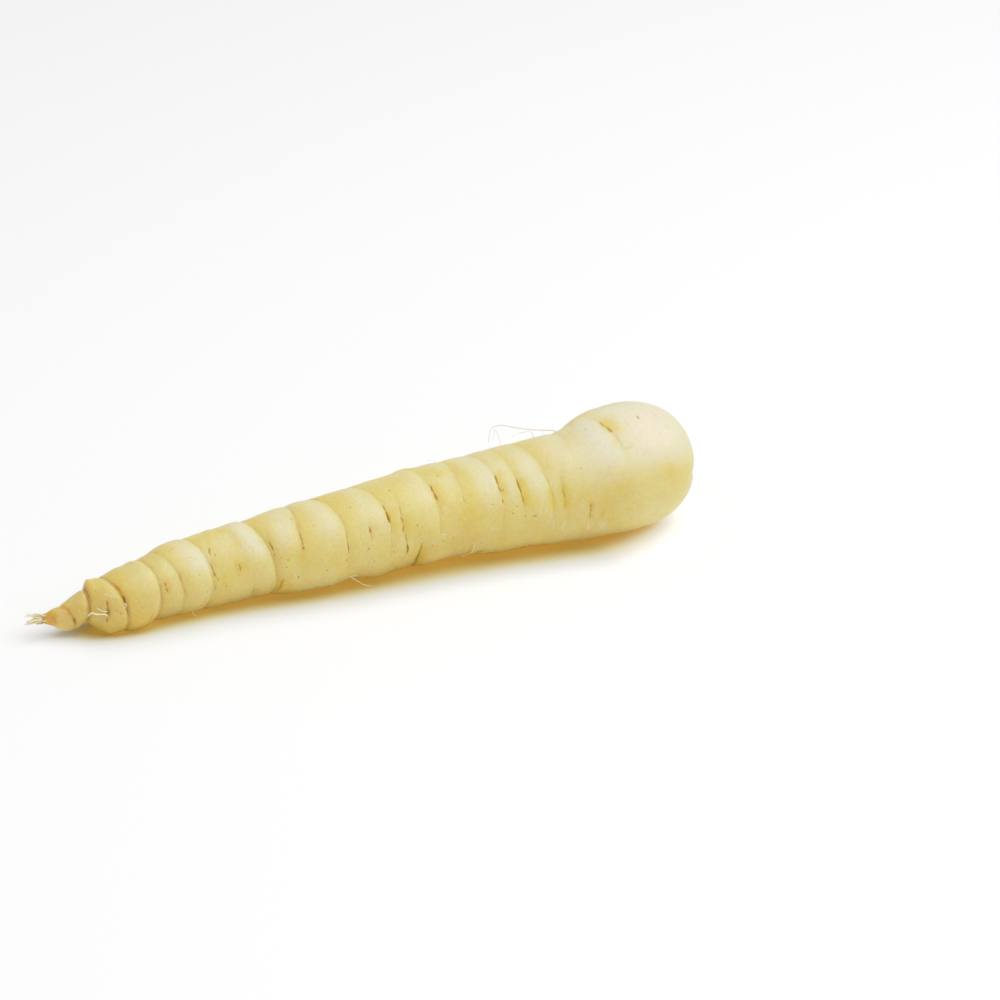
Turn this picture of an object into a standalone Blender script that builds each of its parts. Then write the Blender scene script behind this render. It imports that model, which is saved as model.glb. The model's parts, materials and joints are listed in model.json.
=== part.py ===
"""A white carrot, topped and washed, lying on its side at its real size.

Blender units are metres and +Z is up. The tables below are in millimetres and degrees, which read
better on a root, and MM turns them into metres where a mesh is made. A station is a distance along
the root from the tip of its tail fringe. An angle runs round the root: 0 is the top, 90 the front
(-Y), 180 the underside and -90 the back.
"""

import math
from dataclasses import dataclass

import bmesh
import bpy
import numpy as np
from mathutils import Matrix, Vector

MM = 0.001

# The taproot
TAIL_END = 4.6          # where the taproot ends and its torn fibres begin
SHOULDER = 163.5        # the last station of the flank, where the crown begins to round over
CROWN_HEIGHT = 16.2     # how far the crown stands beyond the shoulder
CROWN_BLUNTNESS = 0.72  # 1 makes the crown an ellipse, and less makes it blunter
DIMPLE_DEPTH = 3.4      # the hollow that the leaves grew out of
DIMPLE_RADIUS = 6.0
DIMPLE_SQUARENESS = 2.4  # how flat the hollow's floor is against its sides
REST_DEPTH = 0.45       # how deep the underside is pressed flat where the root lies on a surface

# The girth of the root between its creases, as (station, radius)
GIRTH = (
    (4.6, 0.9), (8.0, 3.0), (12.0, 4.0), (17.0, 5.9), (22.0, 7.4), (30.0, 8.4), (38.0, 9.1),
    (50.0, 9.3), (60.0, 9.9), (70.0, 10.7), (85.0, 11.5), (100.0, 12.1), (115.0, 12.6),
    (130.0, 13.5), (142.0, 14.2), (150.0, 14.9), (157.0, 16.2), (163.5, 16.5),
)
# The bend of the root seen from above, as (station, sideways place)
SIDE_BEND = (
    (0.0, 1.0), (8.0, -1.4), (16.0, -2.0), (24.0, -2.2), (36.0, -0.5), (50.0, 0.8), (70.0, 0.0),
    (90.0, 0.0), (110.0, 0.6), (134.0, -0.8), (150.0, -2.2), (163.5, -1.6), (180.0, 0.2),
)
# How far the underside is lifted off the surface, as (station, height): the tail curls up
LIFT = (
    (0.0, 5.2), (6.0, 3.5), (12.0, 1.7), (20.0, 0.3), (30.0, 0.0), (60.0, 0.3), (95.0, 0.7),
    (125.0, 0.4), (148.0, 0.0), (163.5, 0.0), (180.0, 0.3),
)
# The rings that round the crown over into its hollow, as shares of the shoulder's radius
CROWN_RINGS = (0.985, 0.95, 0.89, 0.8, 0.69, 0.57, 0.46, 0.37, 0.29, 0.2, 0.1)

RING_SIDES = 40
ROW_SPACING = 2.1       # the widest step between rings
ROW_CROWDING = 0.06     # how much closer the rings lie near a crease
SHARP_EDGE = math.radians(50.0)

ROOT_COLOUR = (0.80, 0.68, 0.40, 1.0)
ROOT_ROUGHNESS = 0.42
LEAF_COLOUR = (0.45, 0.52, 0.20, 1.0)
LEAF_ROUGHNESS = 0.6


@dataclass(frozen=True)
class Crease:
    """A furrow that runs round the root, where side roots grew and the skin was drawn in.

    at is its station, and slant is how far it leans towards the crown at the angle lean. It is
    deepest at the angle middle and fades out spread degrees to each side of it; at 180 it runs
    all the way round.
    """

    at: float
    depth: float
    middle: float = 60.0
    spread: float = 180.0
    slant: float = 0.0
    lean: float = 60.0

    def path(self, angle):
        """The crease's station at an angle."""
        return self.at + self.slant * np.cos(np.radians(angle - self.lean))

    def strength(self, angle):
        """How much of the crease is left at an angle, from 0 to 1."""
        off = np.abs((angle - self.middle + 180.0) % 360.0 - 180.0)
        if self.spread >= 180.0:
            return 1.0 - CREASE_UNEVENNESS * (1.0 - np.cos(np.radians(off)))
        return 0.5 + 0.5 * np.cos(np.pi * np.minimum(1.0, off / self.spread))


# The creases that the rings of the mesh follow, from the tail to the crown
GUIDES = (
    Crease(10.0, 0.9, slant=1.2, lean=120.0),
    Crease(14.9, 1.6, middle=-10.0, slant=0.8, lean=-10.0),
    Crease(22.5, 1.3, slant=0.9, lean=80.0),
    Crease(30.3, 1.3, slant=1.6, lean=55.0),
    Crease(35.5, 0.8, slant=2.0, lean=85.0, spread=170.0),
    Crease(43.5, 1.0, slant=2.6, lean=65.0),
    Crease(52.0, 0.5, middle=-100.0, spread=110.0),
    Crease(60.3, 1.1, slant=3.0, lean=90.0),
    Crease(69.8, 0.8, middle=20.0, spread=120.0, slant=1.5, lean=-20.0),
    Crease(77.6, 0.8, middle=30.0, spread=130.0, slant=4.2),
    Crease(84.0, 0.6, middle=-140.0, spread=90.0, slant=1.0),
    Crease(88.9, 0.9, middle=30.0, spread=110.0, slant=4.0),
    Crease(95.0, 0.6, middle=76.0, spread=56.0, slant=1.4),
    Crease(99.2, 1.2, middle=128.0, spread=52.0, slant=1.0, lean=110.0),
    Crease(103.0, 0.9, middle=20.0, spread=120.0, slant=3.4, lean=50.0),
    Crease(114.0, 0.6, middle=10.0, spread=80.0),
    Crease(120.4, 0.8, middle=20.0, spread=110.0, slant=4.2),
    Crease(127.0, 0.7, middle=30.0, spread=90.0, slant=2.6, lean=80.0),
    Crease(133.0, 0.7, middle=40.0, spread=100.0, slant=4.6, lean=80.0),
    Crease(140.9, 0.5, middle=72.0, spread=46.0),
    Crease(144.6, 0.5, middle=-30.0, spread=80.0),
    Crease(155.0, 0.7, middle=20.0, spread=60.0, slant=2.0),
)
# Short creases and scars between those, many of them on the back and the underside
SCARS = (
    Crease(19.3, 0.5, middle=84.0, spread=40.0),
    Crease(33.2, 0.35, middle=70.0, spread=24.0),
    Crease(46.9, 0.35, middle=50.0, spread=34.0),
    Crease(49.0, 0.6, middle=-50.0, spread=60.0),
    Crease(53.0, 0.3, middle=70.0, spread=20.0),
    Crease(57.0, 0.4, middle=130.0, spread=50.0),
    Crease(65.0, 0.5, middle=-130.0, spread=60.0),
    Crease(78.5, 0.7, middle=146.0, spread=50.0),
    Crease(81.0, 0.5, middle=-80.0, spread=50.0),
    Crease(87.6, 0.3, middle=66.0, spread=20.0),
    Crease(95.0, 0.6, middle=-110.0, spread=60.0),
    Crease(108.5, 0.6, middle=-150.0, spread=60.0),
    Crease(117.0, 0.5, middle=-100.0, spread=50.0),
    Crease(122.0, 0.5, middle=160.0, spread=50.0),
    Crease(131.0, 0.6, middle=-140.0, spread=55.0),
    Crease(137.0, 0.5, middle=-80.0, spread=50.0),
    Crease(146.7, 0.45, middle=94.0, spread=24.0),
    Crease(148.9, 0.3, middle=100.0, spread=16.0),
    Crease(150.0, 0.5, middle=-140.0, spread=50.0),
    Crease(158.0, 0.4, middle=-100.0, spread=45.0),
)
CREASE_UNEVENNESS = 0.2  # half of what a full crease loses on the side away from its middle
GROOVE_WIDTH = 0.9      # the narrow bottom of a crease
GROOVE_SHARE = 0.45     # the part of a crease's depth that is in its groove
HOLLOW_WIDTH = 2.6      # the wide fall of the skin towards it


@dataclass(frozen=True)
class Swelling:
    """A soft lump on the flank, or a hollow where its height is negative."""

    at: float
    angle: float
    height: float
    reach: float
    spread: float

    def rise(self, station, angle):
        """The height that the lump adds at a station and an angle."""
        along = (station - self.at) / self.reach
        around = ((angle - self.angle + 180.0) % 360.0 - 180.0) / self.spread
        return self.height * np.exp(-(along**2) - around**2)


SWELLINGS = (
    Swelling(18.2, -24.0, 1.4, 2.8, 60.0),      # the knob above the tail
    Swelling(25.5, 130.0, 0.5, 4.5, 50.0),
    Swelling(46.0, 140.0, 0.5, 7.0, 50.0),
    Swelling(65.0, 170.0, 0.4, 6.0, 50.0),
    Swelling(73.0, 128.0, 0.7, 6.0, 45.0),
    Swelling(90.0, 130.0, 0.5, 5.0, 40.0),      # the lobe before the fold on the underside
    Swelling(105.0, 140.0, 0.7, 5.0, 40.0),     # the lobe behind the fold
    Swelling(97.5, 140.0, -0.5, 2.5, 30.0),     # the skin that sinks into the fold
    Swelling(136.0, -30.0, -0.5, 10.0, 60.0),   # the waist below the crown
    Swelling(158.0, -10.0, 0.3, 7.0, 60.0),     # the shoulder's high side
    Swelling(166.0, 112.0, -0.7, 9.0, 45.0),    # its flatter side, in front and below
    Swelling(112.0, -120.0, 0.5, 12.0, 60.0),
    Swelling(72.0, -100.0, 0.4, 9.0, 60.0),
)
# The slow waves of a root that is never quite round, as (height, waves round it, length, phase)
WAVES = (
    (0.20, 2, 17.0, 0.0),
    (0.14, 3, -11.0, 1.3),
    (0.10, 1, 5.3, 0.6),
)
RELIEF_GIRTH = 9.0      # the radius below which all relief shrinks with the root


@dataclass(frozen=True)
class Rootlet:
    """A side root left on the skin, with the shares of its direction."""

    station: float
    angle: float
    length: float
    outwards: float
    towards_tail: float
    round: float


SIDE_ROOTLETS = (
    Rootlet(19.6, 86.0, 5.0, 0.10, 0.95, -0.35),
    Rootlet(80.5, 116.0, 6.0, 0.70, -0.80, -0.10),
    Rootlet(113.5, 120.0, 4.4, 0.75, 0.60, -0.60),
    Rootlet(92.0, -96.0, 6.0, 0.75, 0.70, 0.30),
    Rootlet(141.0, -42.0, 8.0, 0.65, 0.88, -0.10),
)
ROOTLET_THICKNESS = 0.6
ROOTLET_SWAY = 0.1      # how far it waves off its line, as a share of its length
SWAY_TURN = 5.0         # how much of a wave it makes, in radians
STRAND_FOOT = 1.2       # how far a strand's foot is sunk under the skin
STRAND_SIDES = 5
STRAND_JOINTS = 4
STRAND_TAPER = 0.5      # the thickness that a strand has lost at its tip

# The torn fibres at the end of the tail
FRINGE_STRANDS = 7
FRINGE_LENGTH = 5.2
FRINGE_STEP = 0.1       # the share by which the next strand is shorter, up to four in turn
FRINGE_THICKNESS = 0.75
FRINGE_OFFSET = 0.45    # how far from the middle of the tail a strand starts
FRINGE_FLARE = (0.05, 0.13)  # how far the first and the last strand spread, as shares of their length
FLARE_CURVE = 1.4       # 1 makes the spread even, and more keeps it to the ends
FRINGE_KINK = 0.25
KINK_TURN = 4.0
KINK_PHASE = 1.7

GOLDEN_ANGLE = 137.5    # the turn from each leaf, or fibre, to the next

# The cut leaf bases
LEAF_STUMPS = 9
STUMP_ARC = (-70.0, -35.0, 0.0, 35.0, 70.0)
STUMP_WIDTH = 2.6
STUMP_THICKNESS = 1.1
STUMP_NARROWING = 0.7   # the width of its inner side as a share of its outer side
STUMP_HEIGHT = 2.9
STUMP_STEP = 0.1        # the share by which some are cut shorter, up to four in turn
STUMP_LEAN = 0.11       # how much it leans out for each millimetre that it stands off the middle
STUMP_REACH = (0.9, 3.2)  # how far the first and the last one stand off the middle
STUMP_FOOT = 0.4        # where it starts above the bottom of the plate
PLATE_RINGS = (1.4, 3.0, 4.4)
PLATE_BEVEL = 0.92      # its upper face against its lower one
PLATE_THICKNESS = 1.1
PLATE_SIDES = 24
PLATE_GAP = 0.35        # clearance between the plate and the root


def smooth_curve(points, place):
    """A value read from a smooth curve through (station, value) points."""
    xs, ys = (np.array(column, float) for column in zip(*points))
    slopes = np.gradient(ys, xs)
    place = np.clip(np.asarray(place, float), xs[0], xs[-1])
    low = np.clip(np.searchsorted(xs, place, side="right") - 1, 0, len(xs) - 2)
    step = xs[low + 1] - xs[low]
    t = (place - xs[low]) / step
    return (
        (2 * t**3 - 3 * t**2 + 1) * ys[low]
        + (t**3 - 2 * t**2 + t) * step * slopes[low]
        + (3 * t**2 - 2 * t**3) * ys[low + 1]
        + (t**3 - t**2) * step * slopes[low + 1]
    )


def spine(station):
    """The middle of the root at a station."""
    station = np.asarray(station, float)
    height = smooth_curve(GIRTH, station) - REST_DEPTH + smooth_curve(LIFT, station)
    return np.stack([station, smooth_curve(SIDE_BEND, station), height], -1)


def spine_axes(station):
    """The root's own directions at a station: along it, up out of its top, and out of its front."""
    half_step = 0.5
    along = spine(station + half_step) - spine(station - half_step)
    along /= np.linalg.norm(along, axis=-1, keepdims=True)
    front = np.cross(along, (0.0, 0.0, 1.0))
    front /= np.linalg.norm(front, axis=-1, keepdims=True)
    return along, np.cross(front, along), front


def crease_depth(station, angle):
    """How far all the creases together draw the skin in."""
    total = 0.0
    for crease in GUIDES + SCARS:
        off = station - crease.path(angle)
        groove = GROOVE_SHARE * np.exp(-((off / GROOVE_WIDTH) ** 2))
        hollow = (1.0 - GROOVE_SHARE) * np.exp(-np.abs(off) / HOLLOW_WIDTH)
        total = total + crease.depth * crease.strength(angle) * (groove + hollow)
    return total


def skin_radius(station, angle):
    """The distance from the middle of the root to its skin."""
    girth = smooth_curve(GIRTH, station)
    lumps = sum(swelling.rise(station, angle) for swelling in SWELLINGS)
    waves = 0.0
    for height, count, reach, phase in WAVES:
        waves = waves + height * np.sin(count * np.radians(angle) + station / reach + phase)
    relief = np.clip(girth / RELIEF_GIRTH, 0.0, 1.0)
    return girth + relief * (lumps + waves - crease_depth(station, angle))


def dimple(radius):
    """How deep the crown's hollow is at a distance from its middle."""
    return DIMPLE_DEPTH * np.exp(-((radius / DIMPLE_RADIUS) ** DIMPLE_SQUARENESS))


def skin_points(station, angle, radius):
    """Points at a distance from the spine, pressed flat where they would sink into the surface."""
    station = np.asarray(station, float)
    _, up, front = spine_axes(station)
    turn = np.radians(angle)[..., None]
    radius = np.asarray(radius, float)[..., None]
    points = spine(station) + (up * np.cos(turn) + front * np.sin(turn)) * radius
    points[..., 2] = np.maximum(points[..., 2], 0.0)
    return points * MM


def flank_rings():
    """The rings of the flank, which slide along the root to lie in its creases."""
    angles = np.arange(RING_SIDES) * 360.0 / RING_SIDES
    level = np.zeros(RING_SIDES)
    lines = [level + TAIL_END] + [crease.path(angles) for crease in GUIDES] + [level + SHOULDER]
    rings = []
    for low, high in zip(lines, lines[1:]):
        steps = max(2, math.ceil((high - low).mean() / ROW_SPACING))
        for share in np.arange(steps) / steps:
            crowded = share - ROW_CROWDING * math.sin(math.tau * share)
            station = low + (high - low) * crowded
            rings.append(skin_points(station, angles, skin_radius(station, angles)))
    rings.append(skin_points(lines[-1], angles, skin_radius(lines[-1], angles)))
    return rings


def crown_rings():
    """The rings that round the shoulder over and go down into the hollow."""
    angles = np.arange(RING_SIDES) * 360.0 / RING_SIDES
    shoulder = skin_radius(np.full(RING_SIDES, SHOULDER), angles)
    rings = []
    for share in CROWN_RINGS:
        rise = math.sin(math.acos(share ** (1.0 / CROWN_BLUNTNESS)))
        station = SHOULDER + CROWN_HEIGHT * rise - dimple(shoulder * share)
        rings.append(skin_points(station, angles, shoulder * share))
    return rings


def loop(shape, points):
    """A closed loop of edges through the points."""
    verts = [shape.verts.new(point) for point in points]
    return [shape.edges.new((verts[k - 1], verts[k])) for k in range(len(verts))]


def skinned(rings):
    """A closed solid stretched over rings of points, from the first to the last."""
    shape = bmesh.new()
    loops = [loop(shape, points) for points in rings]
    for low, high in zip(loops, loops[1:]):
        bmesh.ops.bridge_loops(shape, edges=low + high)
    ends = bmesh.ops.holes_fill(shape, edges=loops[0] + loops[-1], sides=0)["faces"]
    bmesh.ops.poke(shape, faces=ends)
    bmesh.ops.recalc_face_normals(shape, faces=shape.faces)
    return shape


def add_object(name, shape, finish):
    """Turns a bmesh into an object of the scene."""
    mesh = bpy.data.meshes.new(name)
    shape.to_mesh(mesh)
    shape.free()
    mesh.materials.append(finish)
    made = bpy.data.objects.new(name, mesh)
    bpy.context.scene.collection.objects.link(made)
    return made


def material(name, colour, roughness):
    """A plain Principled finish."""
    made = bpy.data.materials.new(name)
    made.use_nodes = True
    shader = made.node_tree.nodes["Principled BSDF"]
    shader.inputs["Base Color"].default_value = colour
    shader.inputs["Roughness"].default_value = roughness
    shader.inputs["Metallic"].default_value = 0.0
    return made


def strand(name, points, thickness, finish):
    """A thin tapering root along a line of points."""
    rings = []
    for k, point in enumerate(points):
        ahead = points[min(k + 1, len(points) - 1)] - points[max(k - 1, 0)]
        radius = 0.5 * thickness * (1.0 - STRAND_TAPER * k / (len(points) - 1)) * MM
        across = ahead.orthogonal().normalized() * radius
        turns = [Matrix.Rotation(math.tau * side / STRAND_SIDES, 3, ahead) for side in range(STRAND_SIDES)]
        rings.append([point + turn @ across for turn in turns])
    return add_object(name, skinned(rings), finish)


def side_rootlet(number, rootlet, finish):
    """A side root that starts under the skin and bends away from it."""
    radius = skin_radius(rootlet.station, rootlet.angle)
    along, _, _ = (Vector(axis) for axis in spine_axes(rootlet.station))
    foot = Vector(skin_points(rootlet.station, rootlet.angle, radius - STRAND_FOOT))
    skin = Vector(skin_points(rootlet.station, rootlet.angle, radius))
    out = (skin - foot).normalized()
    lean = out * rootlet.outwards - along * rootlet.towards_tail - along.cross(out) * rootlet.round
    points = [foot, skin]
    for share in np.arange(1, STRAND_JOINTS + 1) / STRAND_JOINTS:
        sway = ROOTLET_SWAY * math.sin(SWAY_TURN * share + number)
        points.append(skin + (lean.normalized() * share + out * sway) * rootlet.length * MM)
    return strand(f"rootlet_{number}", points, ROOTLET_THICKNESS, finish)


def fringe_strand(number, finish):
    """One torn fibre at the end of the tail."""
    along, up, front = (Vector(axis) for axis in spine_axes(TAIL_END))
    turn = math.radians(number * GOLDEN_ANGLE)
    side = up * math.cos(turn) + front * math.sin(turn)
    length = FRINGE_LENGTH * (1.0 - FRINGE_STEP * (number % 4))
    least, most = FRINGE_FLARE
    flare = least + (most - least) * number / (FRINGE_STRANDS - 1)
    start = Vector(spine(TAIL_END + STRAND_FOOT)) + side * FRINGE_OFFSET
    points = []
    for share in np.arange(STRAND_JOINTS + 1) / STRAND_JOINTS:
        kink = FRINGE_KINK * share * math.sin(KINK_TURN * share + KINK_PHASE * number)
        spread = length * flare * share**FLARE_CURVE + kink
        points.append((start - along * length * share + side * spread) * MM)
    return strand(f"fringe_{number}", points, FRINGE_THICKNESS, finish)


def fuse(target, pieces):
    """Joins the pieces to the target as one solid and removes them."""
    group = bpy.data.collections.new("to_fuse")
    bpy.context.scene.collection.children.link(group)
    for piece in pieces:
        bpy.context.scene.collection.objects.unlink(piece)
        group.objects.link(piece)
    union = target.modifiers.new("fuse", "BOOLEAN")
    union.operation = "UNION"
    union.operand_type = "COLLECTION"
    union.collection = group
    union.solver = "EXACT"
    with bpy.context.temp_override(object=target, active_object=target):
        bpy.ops.object.modifier_apply(modifier=union.name)
    for piece in pieces:
        bpy.data.objects.remove(piece)
    bpy.data.collections.remove(group)


def build_taproot(finish):
    """The root with its creases, its tail fringe and its side rootlets, as one solid."""
    taproot = add_object("taproot", skinned(flank_rings() + crown_rings()), finish)
    strands = [fringe_strand(number, finish) for number in range(FRINGE_STRANDS)]
    strands += [side_rootlet(number, rootlet, finish) for number, rootlet in enumerate(SIDE_ROOTLETS)]
    fuse(taproot, strands)
    return taproot


def stump(number, finish):
    """The cut foot of one leaf: a channelled stalk that leans out and is cut off flat."""
    half = 0.5 * STUMP_WIDTH
    arc = [math.radians(turn) for turn in STUMP_ARC]
    outer = [Vector((half * math.sin(turn), half * (math.cos(turn) - 1.0), 0.0)) for turn in arc]
    narrowed = Matrix.Diagonal((STUMP_NARROWING, 1.0, 1.0))
    inner = [narrowed @ point - Vector((0.0, STUMP_THICKNESS, 0.0)) for point in reversed(outer)]
    nearest, furthest = STUMP_REACH
    reach = nearest + (furthest - nearest) * math.sqrt(number / (LEAF_STUMPS - 1))
    height = STUMP_HEIGHT * (1.0 - STUMP_STEP * (number % 4))
    turn = Matrix.Rotation(math.radians(number * GOLDEN_ANGLE), 4, "Z")
    place = turn @ Matrix.Translation((0.0, reach, STUMP_FOOT))
    rings = []
    for rise in (0.0, height):
        lift = Vector((0.0, STUMP_LEAN * rise * reach, rise))
        rings.append([(place @ (point + lift)) * MM for point in outer + inner])
    return add_object(f"stump_{number}", skinned(rings), finish)


def build_leaf_bases(finish):
    """The cut leaf stalks and the small plate that they stand on, down in the crown's hollow."""
    turns = [math.tau * side / PLATE_SIDES for side in range(PLATE_SIDES)]
    directions = [Vector((math.cos(turn), math.sin(turn), 0.0)) for turn in turns]
    under = [(radius, DIMPLE_DEPTH - dimple(radius)) for radius in PLATE_RINGS]
    over = [(PLATE_BEVEL * radius, rise + PLATE_THICKNESS) for radius, rise in reversed(under)]
    rings = []
    for radius, rise in under + over:
        rings.append([(direction * radius + Vector((0.0, 0.0, rise))) * MM for direction in directions])
    bases = add_object("leaf_bases", skinned(rings), finish)
    fuse(bases, [stump(number, finish) for number in range(LEAF_STUMPS)])
    foot = SHOULDER + CROWN_HEIGHT - DIMPLE_DEPTH + PLATE_GAP
    along, up, front = spine_axes(foot)
    turned = Matrix((up, front, along)).transposed().to_4x4()
    bases.data.transform(Matrix.Translation(Vector(spine(foot)) * MM) @ turned)
    return bases


def centre_on_footprint(pieces):
    """Moves the model so that the origin is the middle of its box, on the surface that it lies on."""
    places = np.array([vert.co for piece in pieces for vert in piece.data.vertices])
    low, high = places.min(axis=0), places.max(axis=0)
    shift = Matrix.Translation((-(low[0] + high[0]) / 2.0, -(low[1] + high[1]) / 2.0, -low[2]))
    for piece in pieces:
        piece.data.transform(shift)


def main():
    """Builds the carrot in an empty scene."""
    for old in list(bpy.data.objects):
        bpy.data.objects.remove(old)
    pieces = [
        build_taproot(material("root_skin", ROOT_COLOUR, ROOT_ROUGHNESS)),
        build_leaf_bases(material("leaf_base", LEAF_COLOUR, LEAF_ROUGHNESS)),
    ]
    centre_on_footprint(pieces)
    for piece in pieces:
        piece.data.shade_smooth()
        piece.data.set_sharp_from_angle(angle=SHARP_EDGE)


main()
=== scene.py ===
"""The white carrot dressed for its picture: fine skin, torn tail fibres, hairs and cut leaf bases.

Tables are in millimetres and degrees. A station is a distance along the root from the tip of its tail.
An angle runs round the root: 0 is the top, 90 the front, 180 the underside and -90 the back.
"""

import json
import logging
import math
from dataclasses import dataclass
from enum import Enum

import bpy
import numpy as np
from mathutils import Matrix, Vector

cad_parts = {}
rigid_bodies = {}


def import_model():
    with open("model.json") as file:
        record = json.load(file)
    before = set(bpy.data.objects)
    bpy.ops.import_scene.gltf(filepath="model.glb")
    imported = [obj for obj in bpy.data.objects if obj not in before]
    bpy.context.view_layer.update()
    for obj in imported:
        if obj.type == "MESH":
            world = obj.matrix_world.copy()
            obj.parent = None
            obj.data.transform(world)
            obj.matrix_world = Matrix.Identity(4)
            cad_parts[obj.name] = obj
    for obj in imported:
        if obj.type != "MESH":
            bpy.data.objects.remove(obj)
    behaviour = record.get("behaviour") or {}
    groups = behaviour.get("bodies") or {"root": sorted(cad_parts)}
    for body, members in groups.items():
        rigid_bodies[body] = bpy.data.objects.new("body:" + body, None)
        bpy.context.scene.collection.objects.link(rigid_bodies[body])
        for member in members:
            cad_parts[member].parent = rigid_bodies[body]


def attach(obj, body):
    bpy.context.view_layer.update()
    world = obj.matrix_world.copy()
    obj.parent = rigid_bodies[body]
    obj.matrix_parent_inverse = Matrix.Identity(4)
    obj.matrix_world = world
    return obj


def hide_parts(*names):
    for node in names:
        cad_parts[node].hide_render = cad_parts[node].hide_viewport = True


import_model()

LOG = logging.getLogger("carrot")
MM = 0.001
SEAT = (-90.597, 0.715, 0.0)        # from the root's own stations to the part's frame
ROOT_LENGTH = 200.0                 # the length that the unevenness is drawn for, past the root's own
VIEW_TURN = 24.37                   # degrees that the root is turned against the line of sight
VIEW_HEIGHT = 26.0                  # degrees above the surface that the camera looks from
VIEW_DISTANCE = 1000.0
VIEW_TARGET = (47.743, 24.065, 0.0)
VIEW_LENS = 136.44
FAR = 1e3                           # a distance past any on the root
RING_FADE = 0.2                     # how much a crease that runs all round fades away from its middle
WHITE = (1.0, 1.0, 1.0, 1.0)
BLACK = (0.0, 0.0, 0.0, 1.0)

Point = tuple[float, float]
Triple = tuple[float, float, float]
Grain = tuple[float, float, float]
Colour = tuple[float, float, float, float]


def wrapped(angle: np.ndarray) -> np.ndarray:
    """The same angles, from -180 to 180."""
    return (angle + 180.0) % 360.0 - 180.0


def smooth_curve(points: tuple[Point, ...], place: np.ndarray) -> np.ndarray:
    """Reads a smooth curve through points.

    Args:
        points: pairs of station and value, in order.
        place: the stations to read it at.

    Returns:
        The values there.
    """
    xs, ys = (np.array(column, float) for column in zip(*points))
    slopes = np.gradient(ys, xs)
    place = np.clip(np.asarray(place, float), xs[0], xs[-1])
    low = np.clip(np.searchsorted(xs, place, side="right") - 1, 0, len(xs) - 2)
    step = xs[low + 1] - xs[low]
    t = (place - xs[low]) / step
    return (
        (2 * t**3 - 3 * t**2 + 1) * ys[low]
        + (t**3 - 2 * t**2 + t) * step * slopes[low]
        + (3 * t**2 - 2 * t**3) * ys[low + 1]
        + (t**3 - t**2) * step * slopes[low + 1]
    )


@dataclass(frozen=True)
class Crease:
    """A furrow that runs round the root, deepest at the angle middle.

    slant is how far it leans towards the crown at the angle lean, and spread how far it reaches to
    each side of its middle; at 180 it runs all the way round.
    """

    at: float
    depth: float
    middle: float = 60.0
    spread: float = 180.0
    slant: float = 0.0
    lean: float = 60.0

    def path(self, angle: np.ndarray) -> np.ndarray:
        """The crease's station at an angle."""
        return self.at + self.slant * np.cos(np.radians(angle - self.lean))

    def strength(self, angle: np.ndarray) -> np.ndarray:
        """How much of the crease is left at an angle, from 0 to 1."""
        off = np.abs(wrapped(angle - self.middle))
        if self.spread >= 180.0:
            return 1.0 - RING_FADE * (1.0 - np.cos(np.radians(off)))
        return 0.5 + 0.5 * np.cos(np.pi * np.minimum(1.0, off / self.spread))


# The creases that the rows of faces follow, from the tail to the crown
GUIDES = (
    Crease(10.0, 0.9, slant=1.2, lean=120.0),
    Crease(14.9, 1.6, middle=-10.0, slant=0.8, lean=-10.0),
    Crease(21.4, 1.3, slant=2.0, lean=88.0),
    Crease(30.6, 1.3, slant=1.3, lean=40.0),
    Crease(35.5, 0.8, slant=2.0, lean=85.0, spread=170.0),
    Crease(43.5, 1.0, slant=2.6, lean=65.0),
    Crease(52.0, 0.5, middle=-100.0, spread=110.0),
    Crease(60.3, 1.1, slant=3.0, lean=90.0),
    Crease(69.8, 0.8, middle=20.0, spread=120.0, slant=1.5, lean=-20.0),
    Crease(77.6, 0.8, middle=30.0, spread=130.0, slant=4.2),
    Crease(84.0, 0.6, middle=-140.0, spread=90.0, slant=1.0),
    Crease(88.9, 0.9, middle=30.0, spread=110.0, slant=4.0),
    Crease(95.0, 0.6, middle=76.0, spread=56.0, slant=1.4),
    Crease(99.2, 1.0, middle=128.0, spread=52.0, slant=1.0, lean=110.0),
    Crease(103.0, 0.9, middle=20.0, spread=120.0, slant=3.4, lean=50.0),
    Crease(114.0, 0.6, middle=10.0, spread=80.0),
    Crease(120.4, 0.8, middle=20.0, spread=110.0, slant=4.2),
    Crease(127.0, 0.7, middle=30.0, spread=90.0, slant=2.6, lean=80.0),
    Crease(133.0, 0.7, middle=40.0, spread=100.0, slant=4.6, lean=80.0),
    Crease(140.9, 0.5, middle=72.0, spread=46.0),
    Crease(144.6, 0.5, middle=-30.0, spread=80.0),
    Crease(155.0, 0.7, middle=20.0, spread=60.0, slant=2.0),
)
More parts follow.
